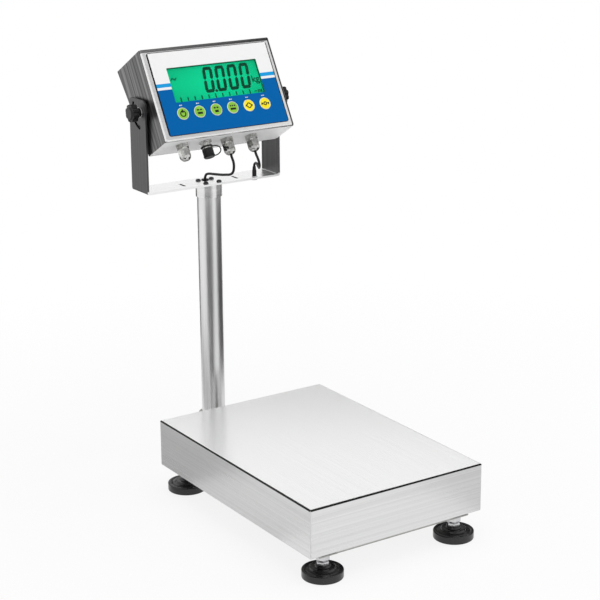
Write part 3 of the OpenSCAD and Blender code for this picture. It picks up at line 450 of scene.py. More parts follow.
def piece(name, mesh, body, finishes, replaces=()):
    data = bpy.data.meshes.new(name)
    mesh.to_mesh(data)
    mesh.free()
    data.shade_smooth()
    data.set_sharp_from_angle(angle=SHADING_ANGLE)
    for finish in finishes:
        data.materials.append(finish)
    made = bpy.data.objects.new(name, data)
    scene.collection.objects.link(made)
    made.modifiers.new("flat_faces", "WEIGHTED_NORMAL").keep_sharp = True
    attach(made, body)
    if replaces:
        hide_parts(*replaces)
    print(name, "has", len(data.polygons), "faces")
    return made


def kept(node, finish):
    materials = nodes[node].data.materials
    materials.clear()
    materials.append(finish)
    print(node, "keeps its CAD mesh")


print("shading is smooth up to", round(math.degrees(SHADING_ANGLE)), "degrees")

# %% [markdown]
# Three helpers serve several pieces. A turned piece is a profile, a few points of radius
# and height, spun about the local Z axis: a lathe does the same with the real one. Edges
# are collected in the order of their points, where a set would have a new order in each
# run, and shapes that belong together are joined into one mesh.

# %% Shapes
def spun(profile, place, steps=64):
    mesh = bmesh.new()
    knots = [mesh.verts.new((r * MM, 0, h * MM)) for r, h in profile]
    line = [mesh.edges.new(pair) for pair in zip(knots, knots[1:])]
    bmesh.ops.spin(
        mesh, geom=knots + line, cent=(0, 0, 0), axis=(0, 0, 1), angle=math.tau,
        steps=steps, use_merge=True,
    )
    bmesh.ops.remove_doubles(mesh, verts=mesh.verts, dist=WELD)
    bmesh.ops.recalc_face_normals(mesh, faces=mesh.faces)
    mesh.transform(place)
    return mesh


def edges_of(verts):
    return list(dict.fromkeys(e for v in verts for e in v.link_edges))


def joined(meshes):
    whole = bmesh.new()
    for mesh in meshes:
        data = bpy.data.meshes.new("part")
        mesh.to_mesh(data)
        mesh.free()
        whole.from_mesh(data)
        bpy.data.meshes.remove(data)
    return whole


print("points within", WELD, "m become one")

# %% [markdown]
# ## Softened edges
# The CAD nodes have the right shapes, but a real bent, cast or moulded edge is never
# razor sharp, and its small round catches the light. A Bevel modifier would find no
# edges on a node, because its mesh is loose triangles. So a copy is merged, its flat
# faces become whole again, its sharp edges get a bevel of the given width, and the copy
# stands for the node. It can be limited to some of the node's points or edges, cut at a
# height, and each of its faces can choose its finish.

# %% Softened copies
FLAT_ANGLE = math.radians(0.5)
BEVEL_ANGLE = math.radians(28)


def softened(
    node, *finishes, width, segments=2, keep=None, only=None, choose=None, cut=None,
    name=None,
):
    mesh = bmesh.new()
    mesh.from_mesh(nodes[node].data)
    bmesh.ops.remove_doubles(mesh, verts=mesh.verts, dist=WELD)
    if keep:
        away = [v for v in mesh.verts if not keep(v.co)]
        bmesh.ops.delete(mesh, geom=away, context="VERTS")
    bmesh.ops.dissolve_limit(
        mesh, angle_limit=FLAT_ANGLE, verts=mesh.verts, edges=mesh.edges,
    )
    sharp = [
        e for e in mesh.edges
        if len(e.link_faces) == 2 and e.calc_face_angle() > BEVEL_ANGLE
        and (only is None or only(e))
    ]
    bmesh.ops.bevel(
        mesh, geom=sharp, offset=width * MM, affect="EDGES", segments=segments,
        profile=0.5, material=-1, clamp_overlap=True,
    )
    bmesh.ops.dissolve_degenerate(mesh, dist=WELD, edges=mesh.edges)
    if cut:
        whole = mesh.verts[:] + mesh.edges[:] + mesh.faces[:]
        bmesh.ops.bisect_plane(mesh, geom=whole, plane_co=(0, 0, cut), plane_no=(0, 0, 1))
    mesh.normal_update()
    for face in mesh.faces:
        face.material_index = choose(face) if choose else 0
    body = nodes[node]["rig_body"]
    return piece(name or node + "_soft", mesh, body, finishes, [node])


print("edges over", round(math.degrees(BEVEL_ANGLE)), "degrees get a bevel")

# %% [markdown]
# ## Cables
# Two thin black cables hang from the indicator's glands: the load cell's cable goes into
# the column through a grommet, and the power cable ends in a plug. Their routes repeat
# the points of the CAD model, from the gland's mouth, which leans with the indicator, to
# the end on the yoke's plate.

# %% Cable routes
CABLE_D = 4
GLAND_END = (-15, -90)
MOUTH_L = 5
LOAD_CELL_GLAND_X, POWER_GLAND_X = 3, 47
LOAD_CELL_ROUTE = [
    (3, 228, 501), (3, 227, 493), (3, 230, 485), (3, 238, 480), (2, 249, 477.5),
    (1, 260, 475.5), (0, 272, 474), (-1, 284, 472.5), (-1, 295, 471), (-1, 304, 468.5),
    (0, 309.5, 464.5), (0, 311, 460.5), (0, 311, 459), (0, 311, 458),
]
POWER_ROUTE = [
    (48, 228, 500), (51, 229, 491), (55, 236, 485), (60, 245, 482), (65, 256, 482),
    (70, 267, 483), (74, 277, 482), (76, 283.5, 479), (76, 285, 476), (76, 285, 475),
]


def cable_route(gland_x, points):
    y, z = GLAND_END
    mouth = [on_head(gland_x, y, z), on_head(gland_x, y, z - MOUTH_L)]
    return mouth + [on_platform(*point) for point in points]


load_cell_route = cable_route(LOAD_CELL_GLAND_X, LOAD_CELL_ROUTE)
power_route = cable_route(POWER_GLAND_X, POWER_ROUTE)
print("routes of", len(load_cell_route), "and", len(power_route), "points")

# %% [markdown]
# A cable is a tube along a smooth line. A mesh could be swept along the points ring by
# ring; a Bezier spline with a round bevel does the same and keeps the line smooth. The
# curve then becomes a mesh, and the points of the spline are kept for its length.

# %% Tube along a route
SPLINE_STEPS = 6
TUBE_ROUNDNESS = 5


def spline_line(name, points, radius):
    curve = bpy.data.curves.new(name, "CURVE")
    curve.dimensions = "3D"
    curve.resolution_u = SPLINE_STEPS
    curve.bevel_depth = radius
    curve.bevel_resolution = TUBE_ROUNDNESS
    curve.use_fill_caps = True
    spline = curve.splines.new("BEZIER")
    spline.bezier_points.add(len(points) - 1)
    for knot, point in zip(spline.bezier_points, points):
        knot.co = point
        knot.handle_left_type = knot.handle_right_type = "AUTO"
    line = bpy.data.objects.new(name + "_line", curve)
    scene.collection.objects.link(line)
    bpy.context.view_layer.update()
    return line


def path_along(line):
    knots = line.data.splines[0].bezier_points
    path = [knots[0].co.copy()]
    for a, b in zip(knots, knots[1:]):
        ends = (a.co, a.handle_right, b.handle_left, b.co)
        path += interpolate_bezier(*ends, SPLINE_STEPS + 1)[1:]
    return path


def tube(name, points, radius, material):
    line = spline_line(name, points, radius)
    path = path_along(line)
    evaluated = line.evaluated_get(bpy.context.evaluated_depsgraph_get())
    data = bpy.data.meshes.new_from_object(evaluated)
    bpy.data.objects.remove(line)
    data.name = name
    data.materials.clear()
    data.materials.append(material)
    data.shade_smooth()
    made = bpy.data.objects.new(name, data)
    scene.collection.objects.link(made)
    length = sum((b - a).length for a, b in zip(path, path[1:]))
    print(name, round(length / MM, 1), "mm")
    return made, path, length


print("a tube has", SPLINE_STEPS, "steps from point to point")

# %% [markdown]
# Each cable is a tube along its route that takes the place of its CAD node, with its place
# baked into its mesh. The power cable's plug is made first, as a softened copy of its node.

# %% Load cell cable and power cable
plug = softened("power_plug_body", black_plastic, width=0.3)
for name, node, route, on_cord in (
    ("load_cell_cord", "load_cell_cable", load_cell_route, []),
    ("power_cord", "power_cable", power_route, [plug]),
):
    cord, path, length = tube(name, route, CABLE_D / 2 * MM, cable_jacket)
    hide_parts(node)
    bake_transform(cord)

# %% [markdown]
# ## Lead and strap
# The load cell's lead runs on down the column and under the pan, held all the way. The
# dust cap of the data socket hangs on a moulded strap. Both are the same kind of tube
# without a joint to cross, so they ride on one body each.

# %% Lead and strap
LEAD_ROUTE = [
    (0, 311, 458), (0, 311, 446), (0, 309, 434), (0, 305, 418), (0, 301, 400),
    (0, 300, 380), (0, 300, 220), (0, 300, 60), (0, 299, 44), (0, 294, 31), (0, 285, 24),
    (0, 272, 24), (0, 220, 24), (0, 176, 24), (4, 164, 25), (16, 152, 27), (30, 142, 32),
    (40, 130, 42), (41, 116, 54), (37, 104, 65), (26, 94, 73), (12, 88, 76), (4, 83, 76),
    (0, 78, 76), (0, 75, 76),
]
DATA_PORT = Vector((-35, -15, -64))
SOCKET_RING_Z, CAP_RING_Z = -9, -24
STRAP_R = 0.9
STRAP_ROUTE = [
    (8.5, 0, SOCKET_RING_Z), (13, -1, -8.6), (18, -2, -10), (21, -3, -14),
    (20.5, -3, -18.5), (17, -2, -22), (13, -1, -23.6), (8.4, 0, CAP_RING_Z),
]

lead_points = [on_platform(*point) for point in LEAD_ROUTE]
lead, _, _ = tube("cell_lead_tube", lead_points, CABLE_D / 2 * MM, cable_jacket)
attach(lead, "base")
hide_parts("cell_lead")
strap_points = [on_head(*(DATA_PORT + Vector(point))) for point in STRAP_ROUTE]
strap, _, _ = tube("cap_strap", strap_points, STRAP_R * MM, black_rubber)
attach(strap, "indicator")

# %% [markdown]
# ## Brushed steel
# Sheet and tube are brushed along one direction. An image of scratches would need
# unwrapped pieces; two noises stretched along the strokes give the look without: a fine
# one for the single scratches and a broad one for the streaks that show from a step
# away. They shade the metal a little, change its roughness and feed a very shallow bump.
# The stretch is given for each axis, so the strokes follow the piece, and the
# indicator's strokes lean with it.

# %% Brushed steel
BROAD_SCALE, STROKE_DETAIL = 0.22, 2.0
FINE_PART, BROAD_PART = 0.45, 0.55
STROKE_LOW, STROKE_HIGH = 0.34, 0.66
STROKE_DEPTH = 0.00005


# painted_fold_shade, when given, lays painted shade over the metal's colour.
def brushed(
    name, shade, darker, *, rough, grain, lean=0.0, relief=0.08, patchy=0.16,
    metallic=1.0, painted_fold_shade=None,
):
    finish = new_finish(name)
    place = finish.place()
    if lean:
        place = finish.node("Mapping", (), {"Vector": place, "Rotation": (lean, 0, 0)})
    along = finish.node("Mapping", (), {"Vector": place, "Scale": grain})
    fine = finish.noise(along, 1.0, STROKE_DETAIL)
    broad = finish.noise(along, BROAD_SCALE, STROKE_DETAIL)
    both = fine * FINE_PART + broad * BROAD_PART
    strokes = finish.spread(both, STROKE_LOW, STROKE_HIGH)
    metal = finish.mix(strokes, tone(darker), tone(shade))
    if painted_fold_shade:
        metal = painted_fold_shade(finish, metal)
    return finish.end(finish.node("BsdfPrincipled", (), {
        "Base Color": metal,
        "Metallic": metallic,
        "Roughness": rough - patchy / 2 + fine * patchy,
        "Normal": finish.bump(fine, relief, STROKE_DEPTH),
    }))


print("brushed steel ready")

# %% [markdown]
# The panel's rim is bright, but its top and right folds look away from the light, so they
# are painted dark grey, darker towards the right: painted shade. The folds are found by
# height and width in the indicator's own upright frame, which a Mapping node gives by
# undoing the lean.

# %% Painted shade on the folds of the panel's rim
FOLD_LOW, FOLD_HIGH = 0.0786, 0.0796
FOLD_IN, FOLD_OUT = 0.1108, 0.1114
RIM_HALF_WIDTH = 0.11


def upright_frame(finish):
    place = finish.place()
    upright = finish.node("Mapping", (), {
        "Vector": place, "Rotation": (LEAN, 0, 0), "Location": TO_HEAD.translation,
    })
    return [finish.node("SeparateXYZ", (), (upright,), output=axis) for axis in range(3)]


# Painted shade: the rim's top and right folds get a grey that darkens towards the right.
def rim_fold_shade(finish, metal):
    across, _, height = upright_frame(finish)
    top = finish.spread(height, FOLD_LOW, FOLD_HIGH)
    right = finish.spread(across, FOLD_IN, FOLD_OUT)
    to_right = finish.spread(across, -RIM_HALF_WIDTH, RIM_HALF_WIDTH)
    shade = finish.mix(to_right, tone("#808080"), tone("#424242"))
    return finish.mix(top.either(right), metal, shade)


print("folds from", FOLD_LOW, "m up and", FOLD_IN, "m out")

# %% [markdown]
# Now the steels themselves. Each has its shade, a darker shade, a roughness and the
# grain of its strokes on each axis: they run along the axes with small numbers. Bends,
# screws and plated parts have equal numbers and so no direction.

# %% Platform steels
pan_top_steel = brushed(
    "pan_top_steel", "#F9F9F9", "#F4F4F4", rough=0.21, grain=(1500, 5, 5), relief=0.015,
    patchy=0.08,
)
# Painted shade: the bends get a dark base colour for a surface that turns away from the
# light.
pan_bend_painted_shade = brushed(
    "pan_bend_painted_shade", "#303030", "#222222", rough=0.34, grain=(40, 40, 40),
)
# Painted highlight: the vertical corners get a pale matt base colour for a bright line of
# light.
pan_corner_painted_highlight = brushed(
    "pan_corner_painted_highlight", "#FCFCFC", "#F2F2F2", rough=0.55, grain=(60, 60, 9), metallic=0.2,
)
# The skirts' base colour is a little darker than the top's: painted shade.
pan_skirt_steel = brushed(
    "pan_skirt_steel", "#E7E7E7", "#D7D7D7", rough=0.30, grain=(4, 4, 1500), relief=0.05,
)
column_steel = brushed(
    "column_steel", "#E6E6E6", "#DADADA", rough=0.30, grain=(900, 900, 3), relief=0.03,
)
collar_steel = brushed(
    "collar_steel", "#EAEAEA", "#E0E0E0", rough=0.24, grain=(3, 3, 900), relief=0.02,
)
frame_steel = brushed(
    "frame_steel", "#B4B4B2", "#94948F", rough=0.38, grain=(900, 14, 900),
)
print("steels of the platform and the column")

# %% Indicator steels
# Painted shade on the yoke's arms and painted light on its plate: one steel, given a dark
# and a near-white base colour for how the light falls.
yoke_arm_painted_shade = brushed(
    "yoke_arm_painted_shade", "#666667", "#505051", rough=0.40, grain=(1300, 1300, 6),
)
yoke_plate_painted_light = brushed(
    "yoke_plate_painted_light", "#FAFAFA", "#F0F0F0", rough=0.28, grain=(5, 1300, 1300),
)
housing_steel = brushed(
    "housing_steel", "#949494", "#2E2E2E", rough=0.36, grain=(760, 760, 5), lean=LEAN,
)
housing_top_steel = brushed(
    "housing_top_steel", "#7C7C7C", "#5C5C5C", rough=0.36, grain=(5, 900, 900), lean=LEAN,
)
# Painted light: the housing's underside gets a near-white, almost non-metallic base colour.
housing_base_painted_light = brushed(
    "housing_base_painted_light", "#FEFEFE", "#F4F4F4", rough=0.45, grain=(5, 1300, 1300),
    metallic=0.1,
)
# The bezel carries painted shade on the top and right folds of its rim.
bezel_steel = brushed(
    "bezel_steel", "#F2F2F2", "#E6E6E6", rough=0.22, grain=(5, 600, 600), lean=LEAN,
    relief=0.004, patchy=0.02, painted_fold_shade=rim_fold_shade,
)
print("steels of the yoke and the indicator")

# %% Steels of small parts
screw_steel = brushed(
    "screw_steel", "#5C5C5E", "#3A3A3C", rough=0.18, grain=(700, 700, 700),
)
bright_steel = brushed(
    "bright_steel", "#DCDCDD", "#BEBEC0", rough=0.16, grain=(700, 700, 700),
)
gland_nickel = brushed(
    "gland_nickel", "#DADAD8", "#7E7E7A", rough=0.06, grain=(380, 380, 380), relief=0.03,
    patchy=0.06,
)
cell_aluminium = brushed(
    "cell_aluminium", "#C8CBCE", "#B0B3B7", rough=0.40, grain=(900, 20, 900),
)
print("steels of screws, glands and the load cell")

# %% [markdown]
# ## Platform
# The weighing pan is one folded sheet. Its top is brushed along its length and its skirts
# along their own. The skirts' base colour is a little darker than the top's, and the bends
# are painted dark for the shade where the sheet turns away from the light: painted shade.
# The vertical corners are painted as a pale matt line, a painted highlight. Four finishes
# on one mesh, chosen by the direction of each face, keep the pan in one piece as the real
# one is. The frame under it is square tube and plate with round bends, and shows when the
# pan is lifted off.

# %% Platform
PAN_TOP, PAN_SKIRT, PAN_BEND_SHADE, PAN_CORNER_HIGHLIGHT = range(4)
LEVEL, SLOPING, DIAGONAL = 0.92, 0.2, 0.3
FRAME_TUBES = (
    "side_rail_left", "side_rail_right", "front_cross_rail", "rear_cross_rail", "cell_beam",
)
FRAME_PLATES = (
    "top_spine", "top_arm_front", "top_arm_rear", "column_arm", "cell_spacers",
)


# Level faces are the top, sloping faces the bends with their painted shade, and faces
# across a corner carry the painted highlight.
def pan_finish(face):
    if face.normal.z > LEVEL:
        return PAN_TOP
    if face.normal.z > SLOPING:
        return PAN_BEND_SHADE
    across_a_corner = min(abs(face.normal.x), abs(face.normal.y)) > DIAGONAL
    return PAN_CORNER_HIGHLIGHT if across_a_corner else PAN_SKIRT


softened(
    "pan", pan_top_steel, pan_skirt_steel, pan_bend_painted_shade, pan_corner_painted_highlight, width=0.25,
    choose=pan_finish,
)
for node in FRAME_TUBES:
    softened(node, frame_steel, width=0.9)
for node in FRAME_PLATES:
    softened(node, frame_steel, width=0.5)
softened("load_cell", cell_aluminium, width=0.6)
softened("platform_bolts", bright_steel, width=0.4)
softened("foot_nuts", bright_steel, width=0.6)
softened("pan_buffers", black_rubber, width=1.0, segments=3)

# %% [markdown]
# Each levelling foot is a moulded pad on a bright stud with a hexagon. The pad's steps
# are narrow, so a small bevel with one more segment is enough to make their edges shine.

# %% Feet
for corner in ("front_left", "front_right", "rear_left", "rear_right"):
    softened("foot_pad_" + corner, foot_rubber, width=0.45, segments=3)
    softened("foot_stud_" + corner, bright_steel, width=0.4)

# %% [markdown]
# ## Column and yoke
# The column is a polished tube with nothing to round, so the CAD tube stays and only
# gets its finish. The yoke is one sheet folded to a U, with its arms brushed upwards. Its
# flat plate is painted near white as painted light from above, and its arms dark grey as
# painted shade. The sheet is cut just above the plate, so that each finish ends in a
# straight line across the bend.

# %% Column
kept("column_tube", column_steel)
softened("column_collar", collar_steel, width=0.6, segments=3)
softened("column_socket", frame_steel, width=0.8)

# %% Yoke
PLATE, ARM = range(2)
ARMS_FROM = 0.4601
SIDEWAYS = 0.6


# Faces of the plate take the painted light, faces of the arms the painted shade.
def yoke_finish(face):
    low = face.calc_center_median().z < ARMS_FROM
    return PLATE if low and abs(face.normal.x) < SIDEWAYS else ARM


softened(
    "yoke", yoke_plate_painted_light, yoke_arm_painted_shade, width=0.4, choose=yoke_finish, cut=ARMS_FROM,
)
softened("cable_grommet", black_rubber, width=0.5)
softened("power_socket", bright_steel, width=0.3)

# %% [markdown]
# ## Screws with sockets
# Button-head screws fix the yoke to the column, with a hexagon socket in each head. The
# socket could be cut with a Boolean, which often leaves long thin faces. Here the head is
# a spun profile that stays open in its middle, a hexagon is bridged to that rim, and the
# hexagon is extruded down and closed.

# %% Button heads
SCREW_STEPS, SOCKET_SIDES = 48, 6


def button_screw(profile, socket, depth, place):
    mesh = spun(profile, Matrix(), SCREW_STEPS)
    top = profile[-1][1] * MM
    rim = [e for e in mesh.edges if e.is_boundary]
    hexagon = bmesh.ops.create_circle(
        mesh, segments=SOCKET_SIDES, radius=socket * MM,
        matrix=Matrix.Translation((0, 0, top)),
    )
    sides = edges_of(hexagon["verts"])
    bmesh.ops.bridge_loops(mesh, edges=rim + sides)
    walls = bmesh.ops.extrude_edge_only(mesh, edges=sides)["geom"]
    low = [g for g in walls if isinstance(g, bmesh.types.BMVert)]
    bmesh.ops.translate(mesh, verts=low, vec=(0, 0, -depth * MM))
    lines = [g for g in walls if isinstance(g, bmesh.types.BMEdge)]
    bmesh.ops.contextual_create(mesh, geom=[e for e in lines if e.is_boundary])
    bmesh.ops.recalc_face_normals(mesh, faces=mesh.faces)
    mesh.transform(place)
    return mesh


print("heads of", SCREW_STEPS, "steps, sockets of", SOCKET_SIDES, "sides")

# %% Yoke screws and column bolts
PLATE_TOP = 458
YOKE_SCREW_OUT = 12
YOKE_SOCKET, YOKE_SOCKET_DEPTH = 1.65, 1.6
BOLTS_BELOW = 0.3
YOKE_SCREW = [
    (0, -8), (2.5, -8), (2.5, 0), (4.25, 0), (4.25, 0.5), (4.1, 1.2), (3.75, 1.8),
    (3.2, 2.4), (2.75, 2.75), (2.4, 2.8), (1.9, 2.8),
]
sides = (-YOKE_SCREW_OUT, YOKE_SCREW_OUT)
screw_places = [on_platform(x, COLUMN_Y + y, PLATE_TOP) for x in sides for y in sides]
screw_heads = joined(
    button_screw(YOKE_SCREW, YOKE_SOCKET, YOKE_SOCKET_DEPTH, Matrix.Translation(place))
    for place in screw_places
)
piece("yoke_screws", screw_heads, "base", [screw_steel], ["column_screws"])
softened(
    "column_screws", bright_steel, width=0.5, keep=lambda at: at.z < BOLTS_BELOW,
    name="column_bolts",
)

# %% [markdown]
# ## Indicator housing
# The housing is folded sheet, brushed from top to bottom. Its underside is painted near
# white and almost non-metallic: painted light. The panel in front of it shows as a bright
# rim round the overlay, and its outer edge is rounded much more than the others, because
# the sheet is bent there. The faces of that edge which look up or to the right take the
# darker housing steel as painted shade. So each face's direction in the indicator's own
# frame chooses its finish, and only the edges of the rim get the wide bevel.

# %% Housing
SIDE, BASE, TOP = range(3)
DOWNWARD, TO_A_SIDE = -0.9, 0.5
RIM_FRONT, RIM_EDGE_SHADE = range(2)
RIM_UPWARD, RIM_RIGHTWARD = 0.3, 0.45
RIM_OUT, RIM_X, RIM_MIDDLE_Z, RIM_UP = -39.9, 110, 10.5, 70


# Downward faces take the painted light of the underside.
def housing_finish(face):
    normal = TO_HEAD.to_3x3() @ face.normal
    if normal.z < DOWNWARD:
        return BASE
    return TOP if abs(normal.x) < TO_A_SIDE else SIDE


# Rim faces that look up or to the right take the darker housing steel as painted shade.
def panel_finish(face):
    normal = TO_HEAD.to_3x3() @ face.normal
    on_edge = normal.z > RIM_UPWARD or normal.x > RIM_RIGHTWARD
    return RIM_EDGE_SHADE if on_edge else RIM_FRONT


def on_panel_rim(edge):
    ends = [TO_HEAD @ v.co / MM for v in edge.verts]
    return all(
        at.y < RIM_OUT and (abs(at.x) > RIM_X or abs(at.z - RIM_MIDDLE_Z) > RIM_UP)
        for at in ends
    )


softened(
    "housing", housing_steel, housing_base_painted_light, housing_top_steel, width=0.7,
    choose=housing_finish,
)
softened("rear_cover", housing_top_steel, width=0.4)
softened(
    "front_panel", bezel_steel, housing_steel, width=2.4, segments=5, only=on_panel_rim,
    choose=panel_finish,
)
softened("pivot_bushes", bright_steel, width=0.4)
for side in ("left", "right"):
    softened("knob_" + side, black_plastic, width=0.8, segments=3)

# %% [markdown]
# Under the housing sit three cable glands and a round data socket with a dust cap. They
# are plated brass and keep the shapes of the CAD model. The cap's moulded strap ends in
# two rings, one round the socket and one round the cap, which are turned profiles.

# %% Glands, data socket and its cap
for node, width in (("cable_glands", 0.45), ("gland_nuts", 0.45), ("data_socket", 0.35)):
    softened(node, gland_nickel, width=width)
softened("data_cap", black_plastic, width=0.25)

# %% Strap rings
SOCKET_RING = [
    (7.6, -1), (9.4, -1), (9.6, -0.6), (9.6, 0.6), (9.4, 1), (7.6, 1), (7.6, -1),
]
CAP_RING = [
    (7.6, -0.9), (8.9, -0.9), (9.1, -0.5), (9.1, 0.5), (8.9, 0.9), (7.6, 0.9), (7.6, -0.9),
]
rings = joined(
    spun(profile, HEAD @ Matrix.Translation((DATA_PORT + Vector((0, 0, z))) * MM))
    for profile, z in ((SOCKET_RING, SOCKET_RING_Z), (CAP_RING, CAP_RING_Z))
)
piece("strap_rings", rings, "indicator", [black_rubber], ["cap_tether"])

# %% [markdown]
# Six screws hold the rear cover. The back of the housing slopes, because the box is
# deeper at its top, so the screws are placed on a plane that has that slope and the foot
# of the back.

# %% Rear screws
HOUSING_H, TOP_DEPTH, BASE_DEPTH = 149, 87, 64
BACK_FOOT = (0, 24, -64)
REAR_SCREW_X, REAR_SCREW_IN = 109, 6
REAR_SOCKET, REAR_SOCKET_DEPTH = 1.25, 1.2
REAR_SCREW = [
    (0, -6), (2, -6), (2, 0), (4, 0), (3.9, 0.6), (3.6, 1.2), (2.9, 1.7), (2.0, 2.0),
    (1.6, 2.0),
]
back_angle = math.atan((TOP_DEPTH - BASE_DEPTH) / HOUSING_H)
back_height = HOUSING_H / math.cos(back_angle)
back_plane = HEAD @ shift(*BACK_FOOT) @ Matrix.Rotation(-back_angle, 4, "X")
outward = Matrix.Rotation(-math.pi / 2, 4, "X")
rear_heads = joined(
    button_screw(
        REAR_SCREW, REAR_SOCKET, REAR_SOCKET_DEPTH, back_plane @ shift(x, 0, z) @ outward,
    )
    for x in (-REAR_SCREW_X, 0, REAR_SCREW_X)
    for z in (REAR_SCREW_IN, back_height - REAR_SCREW_IN)
)
piece(
    "rear_cover_screws", rear_heads, "indicator", [bright_steel],
    ["rear_screws"],
)

# %% [markdown]
# ## Overlay
# The overlay is a printed film: pale round the display, then a cyan line and a blue field
# behind the keys. A thin dark band all round is painted shade of the gap round the film,
# wider on the left for a dark reflection in the edge of the recess. The bands could be
# separate faces, but a print has no steps, so they are cut in the finish, by the height in
# the indicator's own frame.

# %% Overlay print and painted gap shade
FILM_HALF_WIDTH, FILM_LEFT = 0.1056, -0.1048
FILM_MIDDLE, FILM_HALF_HEIGHT = 0.0105, 0.0665
BLUE_TOP = 0.017
LINE_LOW, LINE_HIGH = 0.021, 0.027
FILM_GRAIN, FILM_RELIEF, FILM_DEPTH = 2600.0, 0.06, 0.0001
FILM_ROUGH, FILM_GRAIN_ROUGH, FILM_SPECULAR = 0.30, 0.14, 0.06

film = new_finish("overlay_print")
across, _, height = upright_frame(film)
in_line = (height > LINE_LOW) * (height < LINE_HIGH)
print_and_gap_shade = film.mix(height > BLUE_TOP, tone("#0061A8"), tone("#F0F0F0"))
print_and_gap_shade = film.mix(in_line, print_and_gap_shade, tone("#1E9BDD"))
# Painted shade: a dark band round the film's edge for the shade of the gap, wider on the
# left for a dark reflection in the recess's edge.
edge = (abs(across) > FILM_HALF_WIDTH).either(across < FILM_LEFT)
edge = edge.either(abs(height - FILM_MIDDLE) > FILM_HALF_HEIGHT)
print_and_gap_shade = film.mix(edge, print_and_gap_shade, tone("#1A1B1D"))
film_grain = film.noise(film.place(), FILM_GRAIN)
kept("overlay", film.end(film.node("BsdfPrincipled", (), {
    "Base Color": print_and_gap_shade,
    "Roughness": FILM_ROUGH + film_grain * FILM_GRAIN_ROUGH,
    "Specular IOR Level": FILM_SPECULAR,
    "Normal": film.bump(film_grain, FILM_RELIEF, FILM_DEPTH),
})))

# %% [markdown]
# ## Display
# A green backlit liquid crystal display lies behind a clear window. Real glass would
# bend the light twice and take many samples for a flat pane, so the window is mostly
# transparent, with a little gloss from a Fresnel node on its outer side.

# %% Window
WINDOW_TINT = (0.97, 0.99, 0.98, 1)
WINDOW_ROUGH, WINDOW_IOR, WINDOW_SHINE = 0.06, 1.25, 0.3

clear = new_finish("window_clear")
gloss = clear.node("BsdfPrincipled", (), {"Base Color": WHITE, "Roughness": WINDOW_ROUGH})
through = clear.node("BsdfTransparent", (), {"Color": WINDOW_TINT})
outside = 1 - clear.node("NewGeometry", output="Backfacing")
shine = clear.node("Fresnel", (), {"IOR": WINDOW_IOR}) * WINDOW_SHINE * outside
kept("display_lens", clear.end(clear.node("MixShader", (), (shine, through, gloss))))

# %% [markdown]
# The display glows by itself, so its green feeds the base colour and a weak emission. It
# is a little darker away from its middle, as a backlight is, and has a dark border where
# the window's frame shades it.

# %% Display glass
LCD_MIDDLE = 0.023
LCD_HALF_WIDTH, LCD_HALF_HEIGHT = 0.0789, 0.0270
GLOW_FLATNESS, GLOW_FROM, GLOW_TO = 1.4, 0.03, 0.13
LCD_GRAIN, LCD_ROUGH, LCD_GRAIN_ROUGH = 700.0, 0.28, 0.1
LCD_SPECULAR, LCD_GLOW = 0.05, 0.25

crystal = new_finish("lcd_green")
across, _, height = upright_frame(crystal)
from_middle = abs(across) + abs(height - LCD_MIDDLE) * GLOW_FLATNESS
glow_fall = crystal.spread(from_middle, GLOW_FROM, GLOW_TO)
lcd_tone = crystal.mix(glow_fall, tone("#00BF88"), tone("#00A673"))
border = abs(across) > LCD_HALF_WIDTH
border = border.either(abs(height - LCD_MIDDLE) > LCD_HALF_HEIGHT)
lcd_tone = crystal.mix(border, lcd_tone, tone("#00583F"))
cell_noise = crystal.noise(crystal.place(), LCD_GRAIN)
kept("lcd_panel", crystal.end(crystal.node("BsdfPrincipled", (), {
    "Base Color": lcd_tone,
    "Roughness": LCD_ROUGH + cell_noise * LCD_GRAIN_ROUGH,
    "Specular IOR Level": LCD_SPECULAR,
    "Emission Color": lcd_tone,
    "Emission Strength": LCD_GLOW,
})))

# %% [markdown]
# ## Marks
# Segments, signs and marks are thin raised shapes on a flat face: bars, dots and hoops.
# They could be painted by masks in a finish, but each small mark would need its own
# sums. As meshes they are a few operators each, and they stay sharp in a close view.

# %% Marks on a flat face
INK = 0.06
CORNER, CORNER_STEPS, HOOP_STEPS = 0.15, 3, 40
TO_FRONT = Matrix.Rotation(math.pi / 2, 4, "X")


def on_face(x, z, out):
    return HEAD @ shift(x, -out, z) @ TO_FRONT


def bar(mesh, x, y, width, height, turn=0.0, point=0.0):
    place = shift(x, y, INK / 2) @ Matrix.Rotation(turn, 4, "Z")
    size = Matrix.Diagonal((width * MM, height * MM, INK * MM, 1))
    made = bmesh.ops.create_cube(mesh, size=1, matrix=place @ size)["verts"]
    upright = [
        e for e in edges_of(made) if abs(e.verts[0].co.z - e.verts[1].co.z) > INK * MM / 2
    ]
    bmesh.ops.bevel(
        mesh, geom=upright, offset=max(point, CORNER * min(width, height)) * MM,
        affect="EDGES", segments=1 if point else CORNER_STEPS, profile=0.5, material=-1,
    )


def dot(mesh, x, y, radius, sides=20, turn=0.0):
    bmesh.ops.create_cone(
        mesh, cap_ends=True, segments=sides, radius1=radius * MM, radius2=radius * MM,
        depth=INK * MM, matrix=shift(x, y, INK / 2) @ Matrix.Rotation(turn, 4, "Z"),
    )


def hoop(mesh, x, y, radius, width):
    loops = [
        bmesh.ops.create_circle(
            mesh, segments=HOOP_STEPS, radius=r * MM, matrix=shift(x, y, 0),
        )["verts"]
        for r in (radius, radius - width)
    ]
    edges = edges_of(v for loop in loops for v in loop)
    flat = bmesh.ops.bridge_loops(mesh, edges=edges)["faces"]
    mesh.normal_update()
    bmesh.ops.reverse_faces(mesh, faces=[f for f in flat if f.normal.z < 0])
    bmesh.ops.solidify(mesh, geom=flat, thickness=-INK * MM)
    bmesh.ops.recalc_face_normals(mesh, faces=mesh.faces)


print("marks stand", INK, "mm proud")

